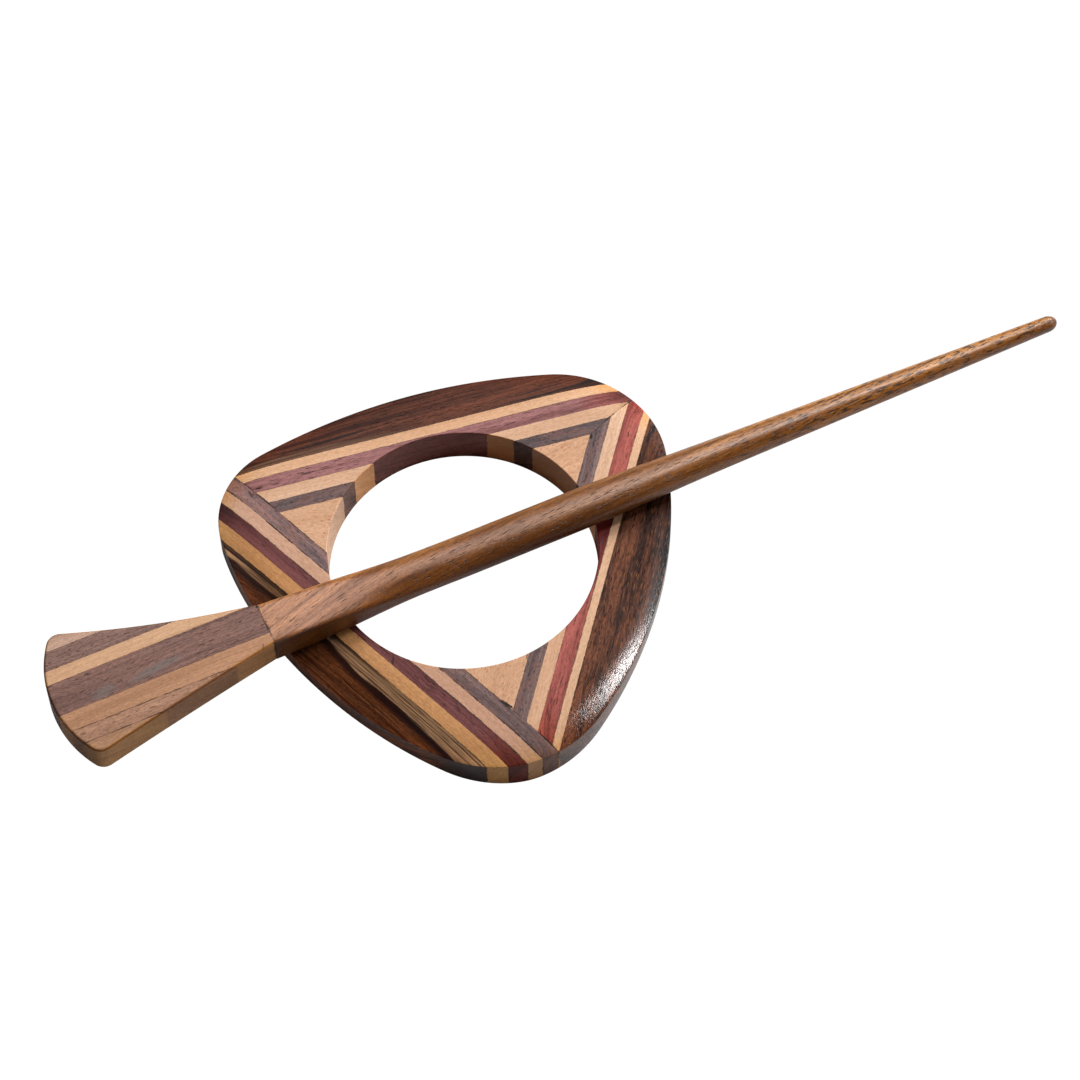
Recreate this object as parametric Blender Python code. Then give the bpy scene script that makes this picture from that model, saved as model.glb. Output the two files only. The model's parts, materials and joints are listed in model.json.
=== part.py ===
# Shawl pin: a laminated wooden ring (rounded triangle with a round hole)
# and a loose tapered stick with a flared laminated head that lies across it.
#
# Metres, +Z up.  The ring's underside is the plane z = 0.  +X runs along the
# stick, from its flared head towards its tip, which is also the way it slides.
# +Y is the back.  The origin is the middle of the underside of the whole pin's
# bounding box.
#
# Pieces are modelled in millimetres, with the hole's centre at x = y = 0, and
# are scaled and moved into the frame above at the end.

import math

import bmesh
import bpy
from mathutils import Matrix, Vector

MM = 0.001
INCH = 25.4
FULL_TURN = 2.0 * math.pi
QUARTER_TURN = 0.5 * math.pi

# All dimensions are in millimetres and degrees.
GLUE = 0.06             # thickness of a glue line

# ------------------------------------------------------------ ring dimensions
HOLE_R = 1.5 * INCH / 2.0
RING_T = 0.25 * INCH
RING_STEPS = 120        # facets round the ring

# The top face falls away towards the rim and meets the wall at a crisp edge.
# Each pair holds the value at the middle of a side and at a corner.
CROWN_FALL = (0.30, 0.95)    # drop at that edge
CROWN_WIDTH = (3.4, 6.0)     # how far inboard the fall begins
CROWN_STEPS = 4
# The lower edge is rounded over, generously along the sides.
FOOT_ROUND = (4.0, 0.4)      # radius
FOOT_STEPS = 4
CORNER_BLEND = 0.1           # softens the change from side to side at a corner

# The rim is three long arcs.  Each side: direction its outward normal points,
# distance from the hole's centre to the middle of the arc, radius of the arc.
SIDES = {
    "A": (82.35, 26.79, 90.8),     # back
    "B": (-38.59, 28.43, 60.7),    # front right
    "C": (199.76, 28.66, 57.8),    # front left
}
# Rounded corners between the sides.  Each: radius, then, going anticlockwise,
# the side that ends at the corner and the side that starts there.
CORNERS = {
    "AB": (15.6, "B", "A"),
    "BC": (17.4, "C", "B"),
    "CA": (12.1, "A", "C"),
}

# The laths are glued up parallel to three directions 120 degrees apart.
LATH_ANGLE_A = 81.37
LATH_ANGLES = {"A": LATH_ANGLE_A, "B": LATH_ANGLE_A - 120.0, "C": LATH_ANGLE_A + 120.0}
# Layers of each side and their woods, from the outside in.
RING_LAYERS = (
    ("outer_block", "rosewood"),
    ("pale_outer_lath", "pale"),
    ("red_lath", "red"),
    ("pale_inner_lath", "pale"),
    ("grey_lath", "grey"),
)
WOOD_EXCEPTIONS = {"ring_C_pale_outer_lath": "gold"}
# Distance from the hole's centre to the joint on the inner face of each layer.
JOINTS = {
    "A": (21.01, 19.36, 17.13, 15.02, 13.03),
    "B": (20.54, 19.38, 17.05, 15.18, 13.03),
    "C": (22.08, 19.95, 17.80, 15.84, 13.61),
}

# ----------------------------------------------------------- stick dimensions
STICK_GAP = 0.10                # running clearance between stick and ring
STICK_Z = RING_T + STICK_GAP    # the stick's underside
AXIS_Y = -2.45                  # stick centre-line beside the hole's centre
SEAM_X = -30.5                  # butt joint between head and shaft
TIP_X = 93.1

HEAD_T = 5.1            # head thickness
HEAD_EDGE = 0.35        # softened edge of the head
HEAD_END_X = -61.65     # crown of the head's curved end
HEAD_END_Y = -1.3
HEAD_END_R = 16.6
HEAD_CORNER_R = 1.9
# The head's two long edges: y at the seam, slope and curvature (per mm)
HEAD_BACK = (1.30, 0.176, 0.0038)
HEAD_FRONT = (-5.30, -0.192, -0.0006)
HEAD_OVERRUN = 2.0      # how far the uncut head runs past the seam
HEAD_EDGE_STEPS = 14
HEAD_CORNER_STEPS = 6
HEAD_END_STEPS = 16

HEAD_LATH_ANGLE = -0.2          # the head's laths lie slightly askew
HEAD_LATH_X = -38.0             # where their joints are measured
# Joints and woods of the head's laths, from the back to the front
HEAD_JOINTS = (6.35, 3.51, 1.40, -3.62, -6.50, -8.85)
HEAD_WOODS = ("tan", "umber", "pale", "umber", "tan", "umber", "tan")
BORED_LATH = 3                  # index of the lath that takes the dowel

# Shaft stations.  Columns: x, back edge y, front edge y, height, how round the
# section is (0 bevelled square, 1 oval), crispness of the square's edges, then
# for the back and the front top edge how far the bevel reaches in across the top
# and down the side (as shares of half the width and height).
SHAFT = (
    (SEAM_X, 1.22, -5.42, HEAD_T, 0.00, 60.0, 0.03, 0.03, 0.03, 0.03),
    (-27.0, 1.05, -5.40, 5.08, 0.00, 46.0, 0.05, 0.05, 0.14, 0.06),
    (-24.0, 0.92, -5.39, 5.05, 0.00, 34.0, 0.12, 0.10, 0.34, 0.12),
    (-19.0, 0.82, -5.38, 5.00, 0.00, 20.0, 0.30, 0.22, 0.56, 0.24),
    (-14.5, 0.72, -5.37, 5.00, 0.10, 14.0, 0.48, 0.36, 0.74, 0.40),
    (-9.5, 0.64, -5.38, 5.00, 0.30, 11.0, 0.58, 0.50, 0.74, 0.56),
    (0.0, 0.60, -5.49, 4.90, 0.60, 9.0, 0.59, 0.59, 0.64, 0.60),
    (10.0, 0.56, -5.50, 4.85, 0.75, 8.0, 0.59, 0.59, 0.60, 0.60),
    (19.0, 0.50, -5.46, 4.80, 0.82, 8.0, 0.59, 0.59, 0.59, 0.59),
    (38.0, -0.09, -4.81, 4.40, 0.86, 8.0, 0.59, 0.59, 0.59, 0.59),
    (57.0, -0.52, -4.37, 3.70, 0.90, 8.0, 0.59, 0.59, 0.59, 0.59),
    (84.0, -1.08, -3.72, 2.64, 0.94, 8.0, 0.59, 0.59, 0.59, 0.59),
)
# x of the shaft's loops between the seam and the start of the rounded tip
SHAFT_LOOPS_X = (
    -27.0, -24.0, -21.5, -19.0, -16.5, -14.5, -12.0, -9.5, -5.0, 0.0,
    5.0, 10.0, 19.0, 28.0, 38.0, 47.0, 57.0, 66.0, 75.0, 84.0,
)
SHAFT_STEPS = 40
TIP_ROUND = 1.6         # length of the rounded end of the tip
TIP_STEPS = 4

DOWEL_R = 1.25
DOWEL_L = 15.0
DOWEL_CHAMFER = 0.3
DOWEL_Y = -1.70
DOWEL_Z = STICK_Z + HEAD_T / 2.0
DOWEL_STEPS = 24
BORE_R = DOWEL_R + 0.05                 # clearance round the dowel
BORE_DEPTH = DOWEL_L / 2.0 + 0.5        # clearance beyond each end of it

# --------------------------------------------------------------------- woods
WOOD_COLOURS = {
    "rosewood": (0.085, 0.038, 0.022),
    "pale": (0.80, 0.52, 0.28),
    "gold": (0.60, 0.33, 0.12),
    "red": (0.45, 0.09, 0.06),
    "grey": (0.13, 0.09, 0.08),
    "corner": (0.74, 0.45, 0.25),
    "umber": (0.22, 0.13, 0.10),
    "tan": (0.52, 0.29, 0.15),
    "walnut": (0.33, 0.17, 0.09),
    "dowel": (0.70, 0.50, 0.30),
}
WOOD_ROUGHNESS = 0.42


def wood_material(part_name, wood):
    material = bpy.data.materials.new("wood_" + part_name)
    material.use_nodes = True
    shader = material.node_tree.nodes["Principled BSDF"]
    shader.inputs["Base Color"].default_value = (*WOOD_COLOURS[wood], 1.0)
    shader.inputs["Roughness"].default_value = WOOD_ROUGHNESS
    return material


# -------------------------------------------------------------- mesh helpers
def unit(degrees):
    angle = math.radians(degrees)
    return Vector((math.cos(angle), math.sin(angle), 0.0))


def polar(point):
    """The direction of a point from the origin, between 0 and a full turn."""
    return math.atan2(point.y, point.x) % FULL_TURN


def blend(start, end, share):
    return start + (end - start) * share


def recalc_normals(bm):
    bmesh.ops.recalc_face_normals(bm, faces=bm.faces[:])


def bridge_loops(bm, loops):
    """Join each closed loop of vertices to the next with quads."""
    for low, high in zip(loops, loops[1:]):
        count = len(low)
        for i in range(count):
            k = (i + 1) % count
            bm.faces.new((low[i], low[k], high[k], high[i]))


def add_object(name, bm):
    """Make an object from a millimetre mesh."""
    for vert in bm.verts:
        vert.co = vert.co * MM
    mesh = bpy.data.meshes.new(name)
    bm.to_mesh(mesh)
    bm.free()
    obj = bpy.data.objects.new(name, mesh)
    bpy.context.scene.collection.objects.link(obj)
    return obj


def add_part(name, bm, wood):
    obj = add_object(name, bm)
    obj.data.materials.append(wood_material(name, wood))
    return obj


def keep_side(bm, point, normal):
    """Cut away everything beyond a plane, where its normal points, and close the cut."""
    geometry = bm.verts[:] + bm.edges[:] + bm.faces[:]
    bmesh.ops.bisect_plane(bm, geom=geometry, dist=1e-5, plane_co=point, plane_no=normal,
                           clear_outer=True)
    open_edges = [edge for edge in bm.edges if edge.is_boundary]
    if open_edges:
        bmesh.ops.holes_fill(bm, edges=open_edges, sides=0)


def cut_piece(source, planes):
    """A copy of source, kept inside the planes given as (point, outward normal)."""
    bm = source.copy()
    for point, normal in planes:
        keep_side(bm, point, normal)
    bmesh.ops.remove_doubles(bm, verts=bm.verts[:], dist=1e-5)
    recalc_normals(bm)
    return bm


def inside(direction, distance):
    """Keep what lies nearer than distance along direction, less half a glue line."""
    return direction * (distance - 0.5 * GLUE), direction


def outside(direction, distance):
    """Keep what lies further than distance along direction, less half a glue line."""
    return direction * (distance + 0.5 * GLUE), -direction


def half(direction):
    """Keep the half on the direction side of the hole's centre."""
    return Vector((0.0, 0.0, 0.0)), -direction


# ---------------------------------------------------------------------- ring
def far_crossing(centre_1, radius_1, centre_2, radius_2, outward):
    """The crossing of two circles that lies furthest outward."""
    offset = centre_2 - centre_1
    distance = offset.length
    along = (radius_1 ** 2 - radius_2 ** 2 + distance ** 2) / (2.0 * distance)
    half_chord = math.sqrt(max(radius_1 ** 2 - along ** 2, 0.0))
    middle = centre_1 + offset * (along / distance)
    across = Vector((-offset.y, offset.x, 0.0)) / distance
    crossings = (middle + across * half_chord, middle - across * half_chord)
    return max(crossings, key=outward.dot)


def rim_arcs():
    """The rim's six arcs: (centre, radius, start angle, end angle)."""
    circles = {side: (unit(degrees) * (middle - radius), radius)
               for side, (degrees, middle, radius) in SIDES.items()}

    def touch_angle(side, corner_centre):
        """Direction of the point where a side's arc meets a corner's arc."""
        centre, radius = circles[side]
        return polar(centre + (corner_centre - centre).normalized() * radius)

    arcs = []
    starts, ends = {}, {}
    for radius, ending, starting in CORNERS.values():
        centre_1, radius_1 = circles[ending]
        centre_2, radius_2 = circles[starting]
        outward = unit(SIDES[ending][0]) + unit(SIDES[starting][0])
        centre = far_crossing(centre_1, radius_1 - radius, centre_2, radius_2 - radius, outward)
        ends[ending] = touch_angle(ending, centre)
        starts[starting] = touch_angle(starting, centre)
        arcs.append((centre, radius, ends[ending], starts[starting]))
    for side, circle in circles.items():
        arcs.append((*circle, starts[side], ends[side]))
    return arcs


def rim_point(arcs, angle):
    """Point and outward normal of the rim in the direction angle."""
    for centre, radius, start, end in arcs:
        if (angle - start) % FULL_TURN <= (end - start) % FULL_TURN:
            ray = Vector((math.cos(angle), math.sin(angle), 0.0))
            along = ray.dot(centre)
            reach = along + math.sqrt(along ** 2 - centre.dot(centre) + radius ** 2)
            point = ray * reach
            return point, (point - centre).normalized()
    raise ValueError("no arc at this angle")


def corner_share(angle):
    """1 in the direction of a corner of the rounded triangle, 0 midway between two."""
    corner_angle = math.radians(LATH_ANGLE_A - 60.0)
    off = math.sin(1.5 * (angle - corner_angle))
    softened = math.hypot(off, CORNER_BLEND) - CORNER_BLEND
    return 1.0 - softened / (math.hypot(1.0, CORNER_BLEND) - CORNER_BLEND)


def rim_section(angle):
    """The rim's section as (inset, height) pairs, from the underside to the top."""
    share = corner_share(angle)
    foot = blend(*FOOT_ROUND, share)
    fall = blend(*CROWN_FALL, share)
    width = blend(*CROWN_WIDTH, share)
    section = []
    for i in range(FOOT_STEPS + 1):
        turn = QUARTER_TURN * i / FOOT_STEPS
        section.append((foot * (1.0 - math.sin(turn)), foot * (1.0 - math.cos(turn))))
    for i in range(CROWN_STEPS + 1):
        inboard = i / CROWN_STEPS
        section.append((width * inboard, RING_T - fall * (1.0 - inboard) ** 2))
    return section


def ring_solid():
    """The whole ring as one closed mesh."""
    bm = bmesh.new()
    arcs = rim_arcs()
    columns = []        # each runs from the hole's lower edge round the rim to its upper edge
    for i in range(RING_STEPS):
        angle = FULL_TURN * (i + 0.5) / RING_STEPS
        rim, normal = rim_point(arcs, angle)
        column = []
        for inset, z in rim_section(angle):
            point = rim - normal * inset
            column.append(bm.verts.new((point.x, point.y, z)))
        hole = Vector((math.cos(angle), math.sin(angle), 0.0)) * HOLE_R
        low = bm.verts.new((hole.x, hole.y, 0.0))
        high = bm.verts.new((hole.x, hole.y, RING_T))
        columns.append([low, *column, high])
    loops = list(zip(*columns))
    bridge_loops(bm, loops + loops[:1])
    recalc_normals(bm)
    return bm


def build_side(side, whole, normals, corner_directions, end_planes):
    """The five layers along one side of the ring."""
    normal = normals[side]
    tangent = Vector((-normal.y, normal.x, 0.0))    # anticlockwise
    joints = JOINTS[side]
    parts = []
    for i, (layer, layer_wood) in enumerate(RING_LAYERS):
        name = "ring_%s_%s" % (side, layer)
        wood = WOOD_EXCEPTIONS.get(name, layer_wood)
        planes = end_planes + [outside(normal, joints[i])]
        if i:
            planes.append(inside(normal, joints[i - 1]))
        if i == 0 or joints[i - 1] > HOLE_R:
            parts.append(add_part(name, cut_piece(whole, planes), wood))
            continue
        # The hole parts a lath that lies wholly within its radius into two lengths.
        for corner, direction in corner_directions.items():
            if side in corner:
                sign = 1.0 if direction.dot(tangent) > 0.0 else -1.0
                piece = cut_piece(whole, planes + [half(tangent * sign)])
                parts.append(add_part("%s_at_%s" % (name, corner), piece, wood))
    return parts


def build_corner_block(corner, whole, normals, direction):
    """The block between the grey laths and the hole at one corner."""
    planes = [inside(normals[side], JOINTS[side][-1]) for side in "ABC"]
    planes.append(half(direction))
    return add_part("ring_corner_block_" + corner, cut_piece(whole, planes), "corner")


def build_ring():
    whole = ring_solid()
    normals = {side: unit(degrees) for side, degrees in LATH_ANGLES.items()}
    corner_directions = {corner: (normals[corner[0]] + normals[corner[1]]).normalized()
                         for corner in CORNERS}
    # Side C runs through to the rim at both ends.  A and B butt against it and
    # meet each other in a mitre.
    mitre = (normals["A"] - normals["B"]).normalized()    # points to A's side
    butt = inside(normals["C"], JOINTS["C"][-1])
    end_planes = {
        "A": [outside(mitre, 0.0), butt],
        "B": [inside(mitre, 0.0), butt],
        "C": [],
    }
    parts = []
    for side, planes in end_planes.items():
        parts += build_side(side, whole, normals, corner_directions, planes)
    for corner, direction in corner_directions.items():
        parts.append(build_corner_block(corner, whole, normals, direction))
    whole.free()
    return parts


# ---------------------------------------------------------------------- head
def edge_point(edge, x):
    """Point at x on one of the head's long edges."""
    start, slope, curve = edge
    run = SEAM_X - x
    return Vector((x, start + slope * run + curve * run * run, 0.0))


def fillet_centre(edge, inward_sign, x):
    """Centre of a corner fillet that touches a long edge at x."""
    _, slope, curve = edge
    gradient = -(slope + 2.0 * curve * (SEAM_X - x))
    inward = Vector((gradient, -1.0, 0.0)).normalized() * inward_sign
    return edge_point(edge, x) + inward * HEAD_CORNER_R


def corner_fillet(edge, inward_sign, end_centre):
    """Where the fillet to the curved end touches a long edge, and its centre.

    inward_sign is 1 for the back edge and -1 for the front edge.
    """
    low, high = HEAD_END_X - 2.0, SEAM_X - 8.0      # the touching point lies between
    for _ in range(60):
        x = 0.5 * (low + high)
        centre = fillet_centre(edge, inward_sign, x)
        if (centre - end_centre).length > HEAD_END_R - HEAD_CORNER_R:
            low = x
        else:
            high = x
    return x, centre


def arc_points(centre, radius, start, end, steps):
    angles = [blend(start, end, i / steps) for i in range(steps + 1)]
    return [centre + Vector((math.cos(angle), math.sin(angle), 0.0)) * radius
            for angle in angles]


def head_outline():
    """The head's outline, anticlockwise, running a little past the seam."""
    end_centre = Vector((HEAD_END_X + HEAD_END_R, HEAD_END_Y, 0.0))
    back_x, back_centre = corner_fillet(HEAD_BACK, 1.0, end_centre)
    front_x, front_centre = corner_fillet(HEAD_FRONT, -1.0, end_centre)
    back_start = polar(edge_point(HEAD_BACK, back_x) - back_centre)
    end_start = polar(back_centre - end_centre)
    end_stop = polar(front_centre - end_centre)
    front_stop = polar(edge_point(HEAD_FRONT, front_x) - front_centre)

    open_x = SEAM_X + HEAD_OVERRUN
    points = [edge_point(HEAD_BACK, blend(open_x, back_x, i / HEAD_EDGE_STEPS))
              for i in range(HEAD_EDGE_STEPS)]
    points += arc_points(back_centre, HEAD_CORNER_R, back_start, end_start, HEAD_CORNER_STEPS)
    points += arc_points(end_centre, HEAD_END_R, end_start, end_stop, HEAD_END_STEPS)[1:-1]
    points += arc_points(front_centre, HEAD_CORNER_R, end_stop, front_stop, HEAD_CORNER_STEPS)
    points += [edge_point(HEAD_FRONT, blend(front_x, open_x, i / HEAD_EDGE_STEPS))
               for i in range(1, HEAD_EDGE_STEPS + 1)]
    return points


def head_solid():
    """The whole head as one closed mesh with softened edges."""
    points = head_outline()
    count = len(points)
    normals = []
    for i in range(count):
        tangent = points[(i + 1) % count] - points[i - 1]
        normals.append(Vector((tangent.y, -tangent.x, 0.0)).normalized())
    # (inset, height) pairs, from the underside to the top
    middle = HEAD_EDGE * (1.0 - math.sqrt(0.5))
    profile = [(HEAD_EDGE, 0.0), (middle, middle), (0.0, HEAD_EDGE)]
    profile += [(inset, HEAD_T - z) for inset, z in reversed(profile)]
    bm = bmesh.new()
    loops = []
    for inset, z in profile:
        loops.append([bm.verts.new((point.x - normal.x * inset, point.y - normal.y * inset,
                                    STICK_Z + z))
                      for point, normal in zip(points, normals)])
    bridge_loops(bm, loops)
    bm.faces.new(loops[0])
    bm.faces.new(loops[-1])
    recalc_normals(bm)
    return bm


def build_head():
    """The head's laths, from the back to the front."""
    whole = head_solid()
    across = unit(HEAD_LATH_ANGLE + 90.0)
    half_glue = across * (0.5 * GLUE)
    seam = (Vector((SEAM_X - 0.5 * GLUE, 0.0, 0.0)), Vector((1.0, 0.0, 0.0)))
    joints = [Vector((HEAD_LATH_X, y, 0.0)) for y in HEAD_JOINTS]
    parts = []
    for i, wood in enumerate(HEAD_WOODS):
        planes = [seam]
        if i > 0:
            planes.append((joints[i - 1] - half_glue, across))
        if i < len(joints):
            planes.append((joints[i] + half_glue, -across))
        parts.append(add_part("stick_head_lath_%d" % (i + 1), cut_piece(whole, planes), wood))
    whole.free()
    return parts


# --------------------------------------------------------------------- shaft
def shaft_station(x):
    """The shaft's section at x, blended between the stations or run on past the last."""
    for before, after in zip(SHAFT, SHAFT[1:]):
        if x <= after[0]:
            break
    share = (x - before[0]) / (after[0] - before[0])
    return [blend(start, end, share) for start, end in zip(before[1:], after[1:])]


def section_radius(angle, roundness, crisp, bevels):
    """Distance from the middle to the edge of a shaft section in direction angle.

    The section lies between a bevelled square and a circle, both of half-width
    1.  crisp sets how sharp the square's edges are: the higher, the sharper.
    """
    cosine, sine = math.cos(angle), math.sin(angle)
    back_in, back_down, front_in, front_down = bevels
    across, down = (back_in, back_down) if cosine > 0.0 else (front_in, front_down)
    # the bevel is the line through (1 - across, 1) and (1, 1 - down)
    span = down + across - down * across
    reach = (abs(cosine) * down + abs(sine) * across) / span
    total = abs(cosine) ** crisp + abs(sine) ** crisp + reach ** crisp
    level = (1.0 + (0.5 * (down + across) / span) ** crisp) ** (1.0 / crisp)
    square = level * total ** (-1.0 / crisp)
    return blend(square, 1.0, roundness)


def build_shaft():
    straight_end = TIP_X - TIP_ROUND
    rows = [(x, 1.0) for x in (SEAM_X + 0.5 * GLUE, *SHAFT_LOOPS_X, straight_end)]
    for i in range(1, TIP_STEPS):
        turn = QUARTER_TURN * i / TIP_STEPS
        rows.append((straight_end + TIP_ROUND * math.sin(turn), math.cos(turn)))
    bm = bmesh.new()
    loops = []
    for x, scale in rows:
        back, front, height, roundness, crisp, *bevels = shaft_station(min(x, straight_end))
        middle_y, half_width = 0.5 * (back + front), 0.5 * (back - front)
        half_height = 0.5 * height
        middle_z = STICK_Z + half_height
        loop = []
        for i in range(SHAFT_STEPS):
            angle = FULL_TURN * (i + 0.5) / SHAFT_STEPS
            radius = section_radius(angle, roundness, crisp, bevels) * scale
            loop.append(bm.verts.new((x, middle_y + math.cos(angle) * radius * half_width,
                                      middle_z + math.sin(angle) * radius * half_height)))
        loops.append(loop)
    bridge_loops(bm, loops)
    bm.faces.new(loops[0])
    # The last loop's middle is also the tip's.
    tip = bm.verts.new((TIP_X, middle_y, middle_z))
    for i in range(SHAFT_STEPS):
        bm.faces.new((loops[-1][i], loops[-1][(i + 1) % SHAFT_STEPS], tip))
    recalc_normals(bm)
    return add_part("stick_shaft", bm, "walnut")


# --------------------------------------------------------------------- dowel
def rod_mesh(rows):
    """A round rod along X on the dowel's centre-line, through (x, radius) rows."""
    bm = bmesh.new()
    loops = []
    for x, radius in rows:
        angles = [FULL_TURN * i / DOWEL_STEPS for i in range(DOWEL_STEPS)]
        loops.append([bm.verts.new((x, DOWEL_Y + radius * math.cos(angle),
                                    DOWEL_Z + radius * math.sin(angle)))
                      for angle in angles])
    bridge_loops(bm, loops)
    bm.faces.new(loops[0])
    bm.faces.new(loops[-1])
    recalc_normals(bm)
    return bm


def build_dowel():
    start, end = SEAM_X - 0.5 * DOWEL_L, SEAM_X + 0.5 * DOWEL_L
    end_radius = DOWEL_R - DOWEL_CHAMFER
    rows = (
        (start, end_radius),
        (start + DOWEL_CHAMFER, DOWEL_R),
        (end - DOWEL_CHAMFER, DOWEL_R),
        (end, end_radius),
    )
    return add_part("stick_dowel", rod_mesh(rows), "dowel")


def build_bore_cutter():
    rows = ((SEAM_X - BORE_DEPTH, BORE_R), (SEAM_X + BORE_DEPTH, BORE_R))
    cutter = add_object("cut_dowel_bore", rod_mesh(rows))
    cutter.hide_render = True
    cutter.display_type = "WIRE"
    return cutter


def bore(obj, cutter):
    modifier = obj.modifiers.new("dowel_bore", "BOOLEAN")
    modifier.operation = "DIFFERENCE"
    modifier.solver = "EXACT"
    modifier.object = cutter


# ------------------------------------------------------------------ assembly
def origin_shift(objects):
    """The move that brings the middle of the underside to the origin."""
    points = [vert.co for obj in objects for vert in obj.data.vertices]
    low = [min(point[i] for point in points) for i in range(3)]
    high = [max(point[i] for point in points) for i in range(3)]
    return Vector((-0.5 * (low[0] + high[0]), -0.5 * (low[1] + high[1]), -low[2]))


def main():
    for obj in list(bpy.data.objects):
        bpy.data.objects.remove(obj, do_unlink=True)

    ring = build_ring()
    head = build_head()
    shaft = build_shaft()
    dowel = build_dowel()
    cutter = build_bore_cutter()
    bore(head[BORED_LATH], cutter)
    bore(shaft, cutter)
    stick = head + [shaft, dowel]

    shift = origin_shift(ring + stick)
    for obj in ring:
        obj.data.transform(Matrix.Translation(shift))

    # The stick's pieces hang from an empty on its centre-line, at the seam.
    axis_point = Vector((SEAM_X, AXIS_Y, DOWEL_Z)) * MM
    axis = bpy.data.objects.new("stick_axis", None)
    bpy.context.scene.collection.objects.link(axis)
    axis.location = shift + axis_point
    for obj in stick + [cutter]:
        obj.data.transform(Matrix.Translation(-axis_point))
        obj.parent = axis


main()
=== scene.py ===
# A laminated wooden shawl pin: a rounded-triangle ring lying flat with a stick across it.
# The stick runs along x, with its wide head at -x and its tip at +x; +y is its back.
# Positions are in millimetres about the centre of the ring's hole, with z from the table.
# Every visible CAD node is replaced by a finely built piece with its own procedural wood.
import json
import math
from collections import namedtuple

import bmesh
import bpy
from mathutils import Matrix, Vector


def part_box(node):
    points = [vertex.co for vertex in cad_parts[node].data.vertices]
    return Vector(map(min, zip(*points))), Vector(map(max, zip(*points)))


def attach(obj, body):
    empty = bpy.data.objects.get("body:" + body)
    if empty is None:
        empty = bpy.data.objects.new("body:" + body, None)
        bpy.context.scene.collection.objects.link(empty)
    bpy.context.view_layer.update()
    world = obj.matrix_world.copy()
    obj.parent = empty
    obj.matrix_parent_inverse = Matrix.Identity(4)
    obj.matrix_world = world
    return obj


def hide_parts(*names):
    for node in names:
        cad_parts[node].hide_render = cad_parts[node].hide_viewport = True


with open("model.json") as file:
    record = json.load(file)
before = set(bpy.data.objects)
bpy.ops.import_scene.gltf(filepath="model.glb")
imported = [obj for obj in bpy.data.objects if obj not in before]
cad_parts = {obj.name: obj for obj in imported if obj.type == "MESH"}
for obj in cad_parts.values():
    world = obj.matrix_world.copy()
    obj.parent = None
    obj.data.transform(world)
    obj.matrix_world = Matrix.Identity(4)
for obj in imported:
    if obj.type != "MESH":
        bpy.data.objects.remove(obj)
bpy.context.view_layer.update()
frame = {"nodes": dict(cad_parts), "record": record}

MM = 0.001

# ------------------------------------------------------------------ dimensions
# Lengths are in millimetres and angles in degrees.
FILM = 0.012            # gap left between neighbouring pieces

# Ring
HOLE_R = 19.05
HOLE_EDGE = 0.16        # rounding of the hole's edges
RING_T = 6.35
RING_STEPS = 480
# The next three are (midway along a side, at a corner)
CROWN_FALL = (0.30, 0.95)
CROWN_WIDTH = (3.4, 6.0)
FOOT_ROUND = (4.0, 0.4)
ARRIS = 0.10            # rounding of the crisp edge between top and wall
# Crisp edge: inset and height from the foot of the crown, in ARRIS lengths.
# The last height comes from the crown's slope.
ARRIS_POINTS = ((0.0, -1.0), (0.10, -0.42), (0.36, -0.08))
# Rim arc of each side: direction, distance of its middle from the hole's centre, radius
SIDES = {"A": (82.35, 26.79, 90.8), "B": (-38.59, 28.43, 60.7), "C": (199.76, 28.66, 57.8)}
CORNER_RADII = {"AB": 15.6, "CA": 12.1, "BC": 17.4}
LATH_NORMAL = {"A": 81.37, "B": -38.63, "C": 201.37}
# Distances of the glue joints from the hole's centre, from the outside in
JOINTS = {
    "A": (21.01, 19.36, 17.13, 15.02, 13.03),
    "B": (20.54, 19.38, 17.05, 15.18, 13.03),
    "C": (22.08, 19.95, 17.80, 15.84, 13.61),
}

# Stick
STICK_GAP = 0.10
STICK_Z = RING_T + STICK_GAP
SEAM_X = -30.5          # where head and shaft meet
TIP_X = 93.1
TIP_ROUND = 1.6
HEAD_T = 5.1
HEAD_EDGE = 0.40
HEAD_END_X = -61.65
HEAD_END_Y = -1.3
HEAD_END_R = 16.6
HEAD_CORNER_R = 1.9
# Long edges of the head: y = start + slope * d + curve * d * d, d being measured from the seam
HEAD_BACK = (1.30, 0.176, 0.0038)
HEAD_FRONT = (-5.30, -0.192, -0.0006)
HEAD_LATH_ANGLE = -0.2
HEAD_LATH_X = -38.0     # where the y of the head joints is taken
HEAD_JOINTS = (6.35, 3.51, 1.40, -3.62, -6.50, -8.85)
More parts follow.
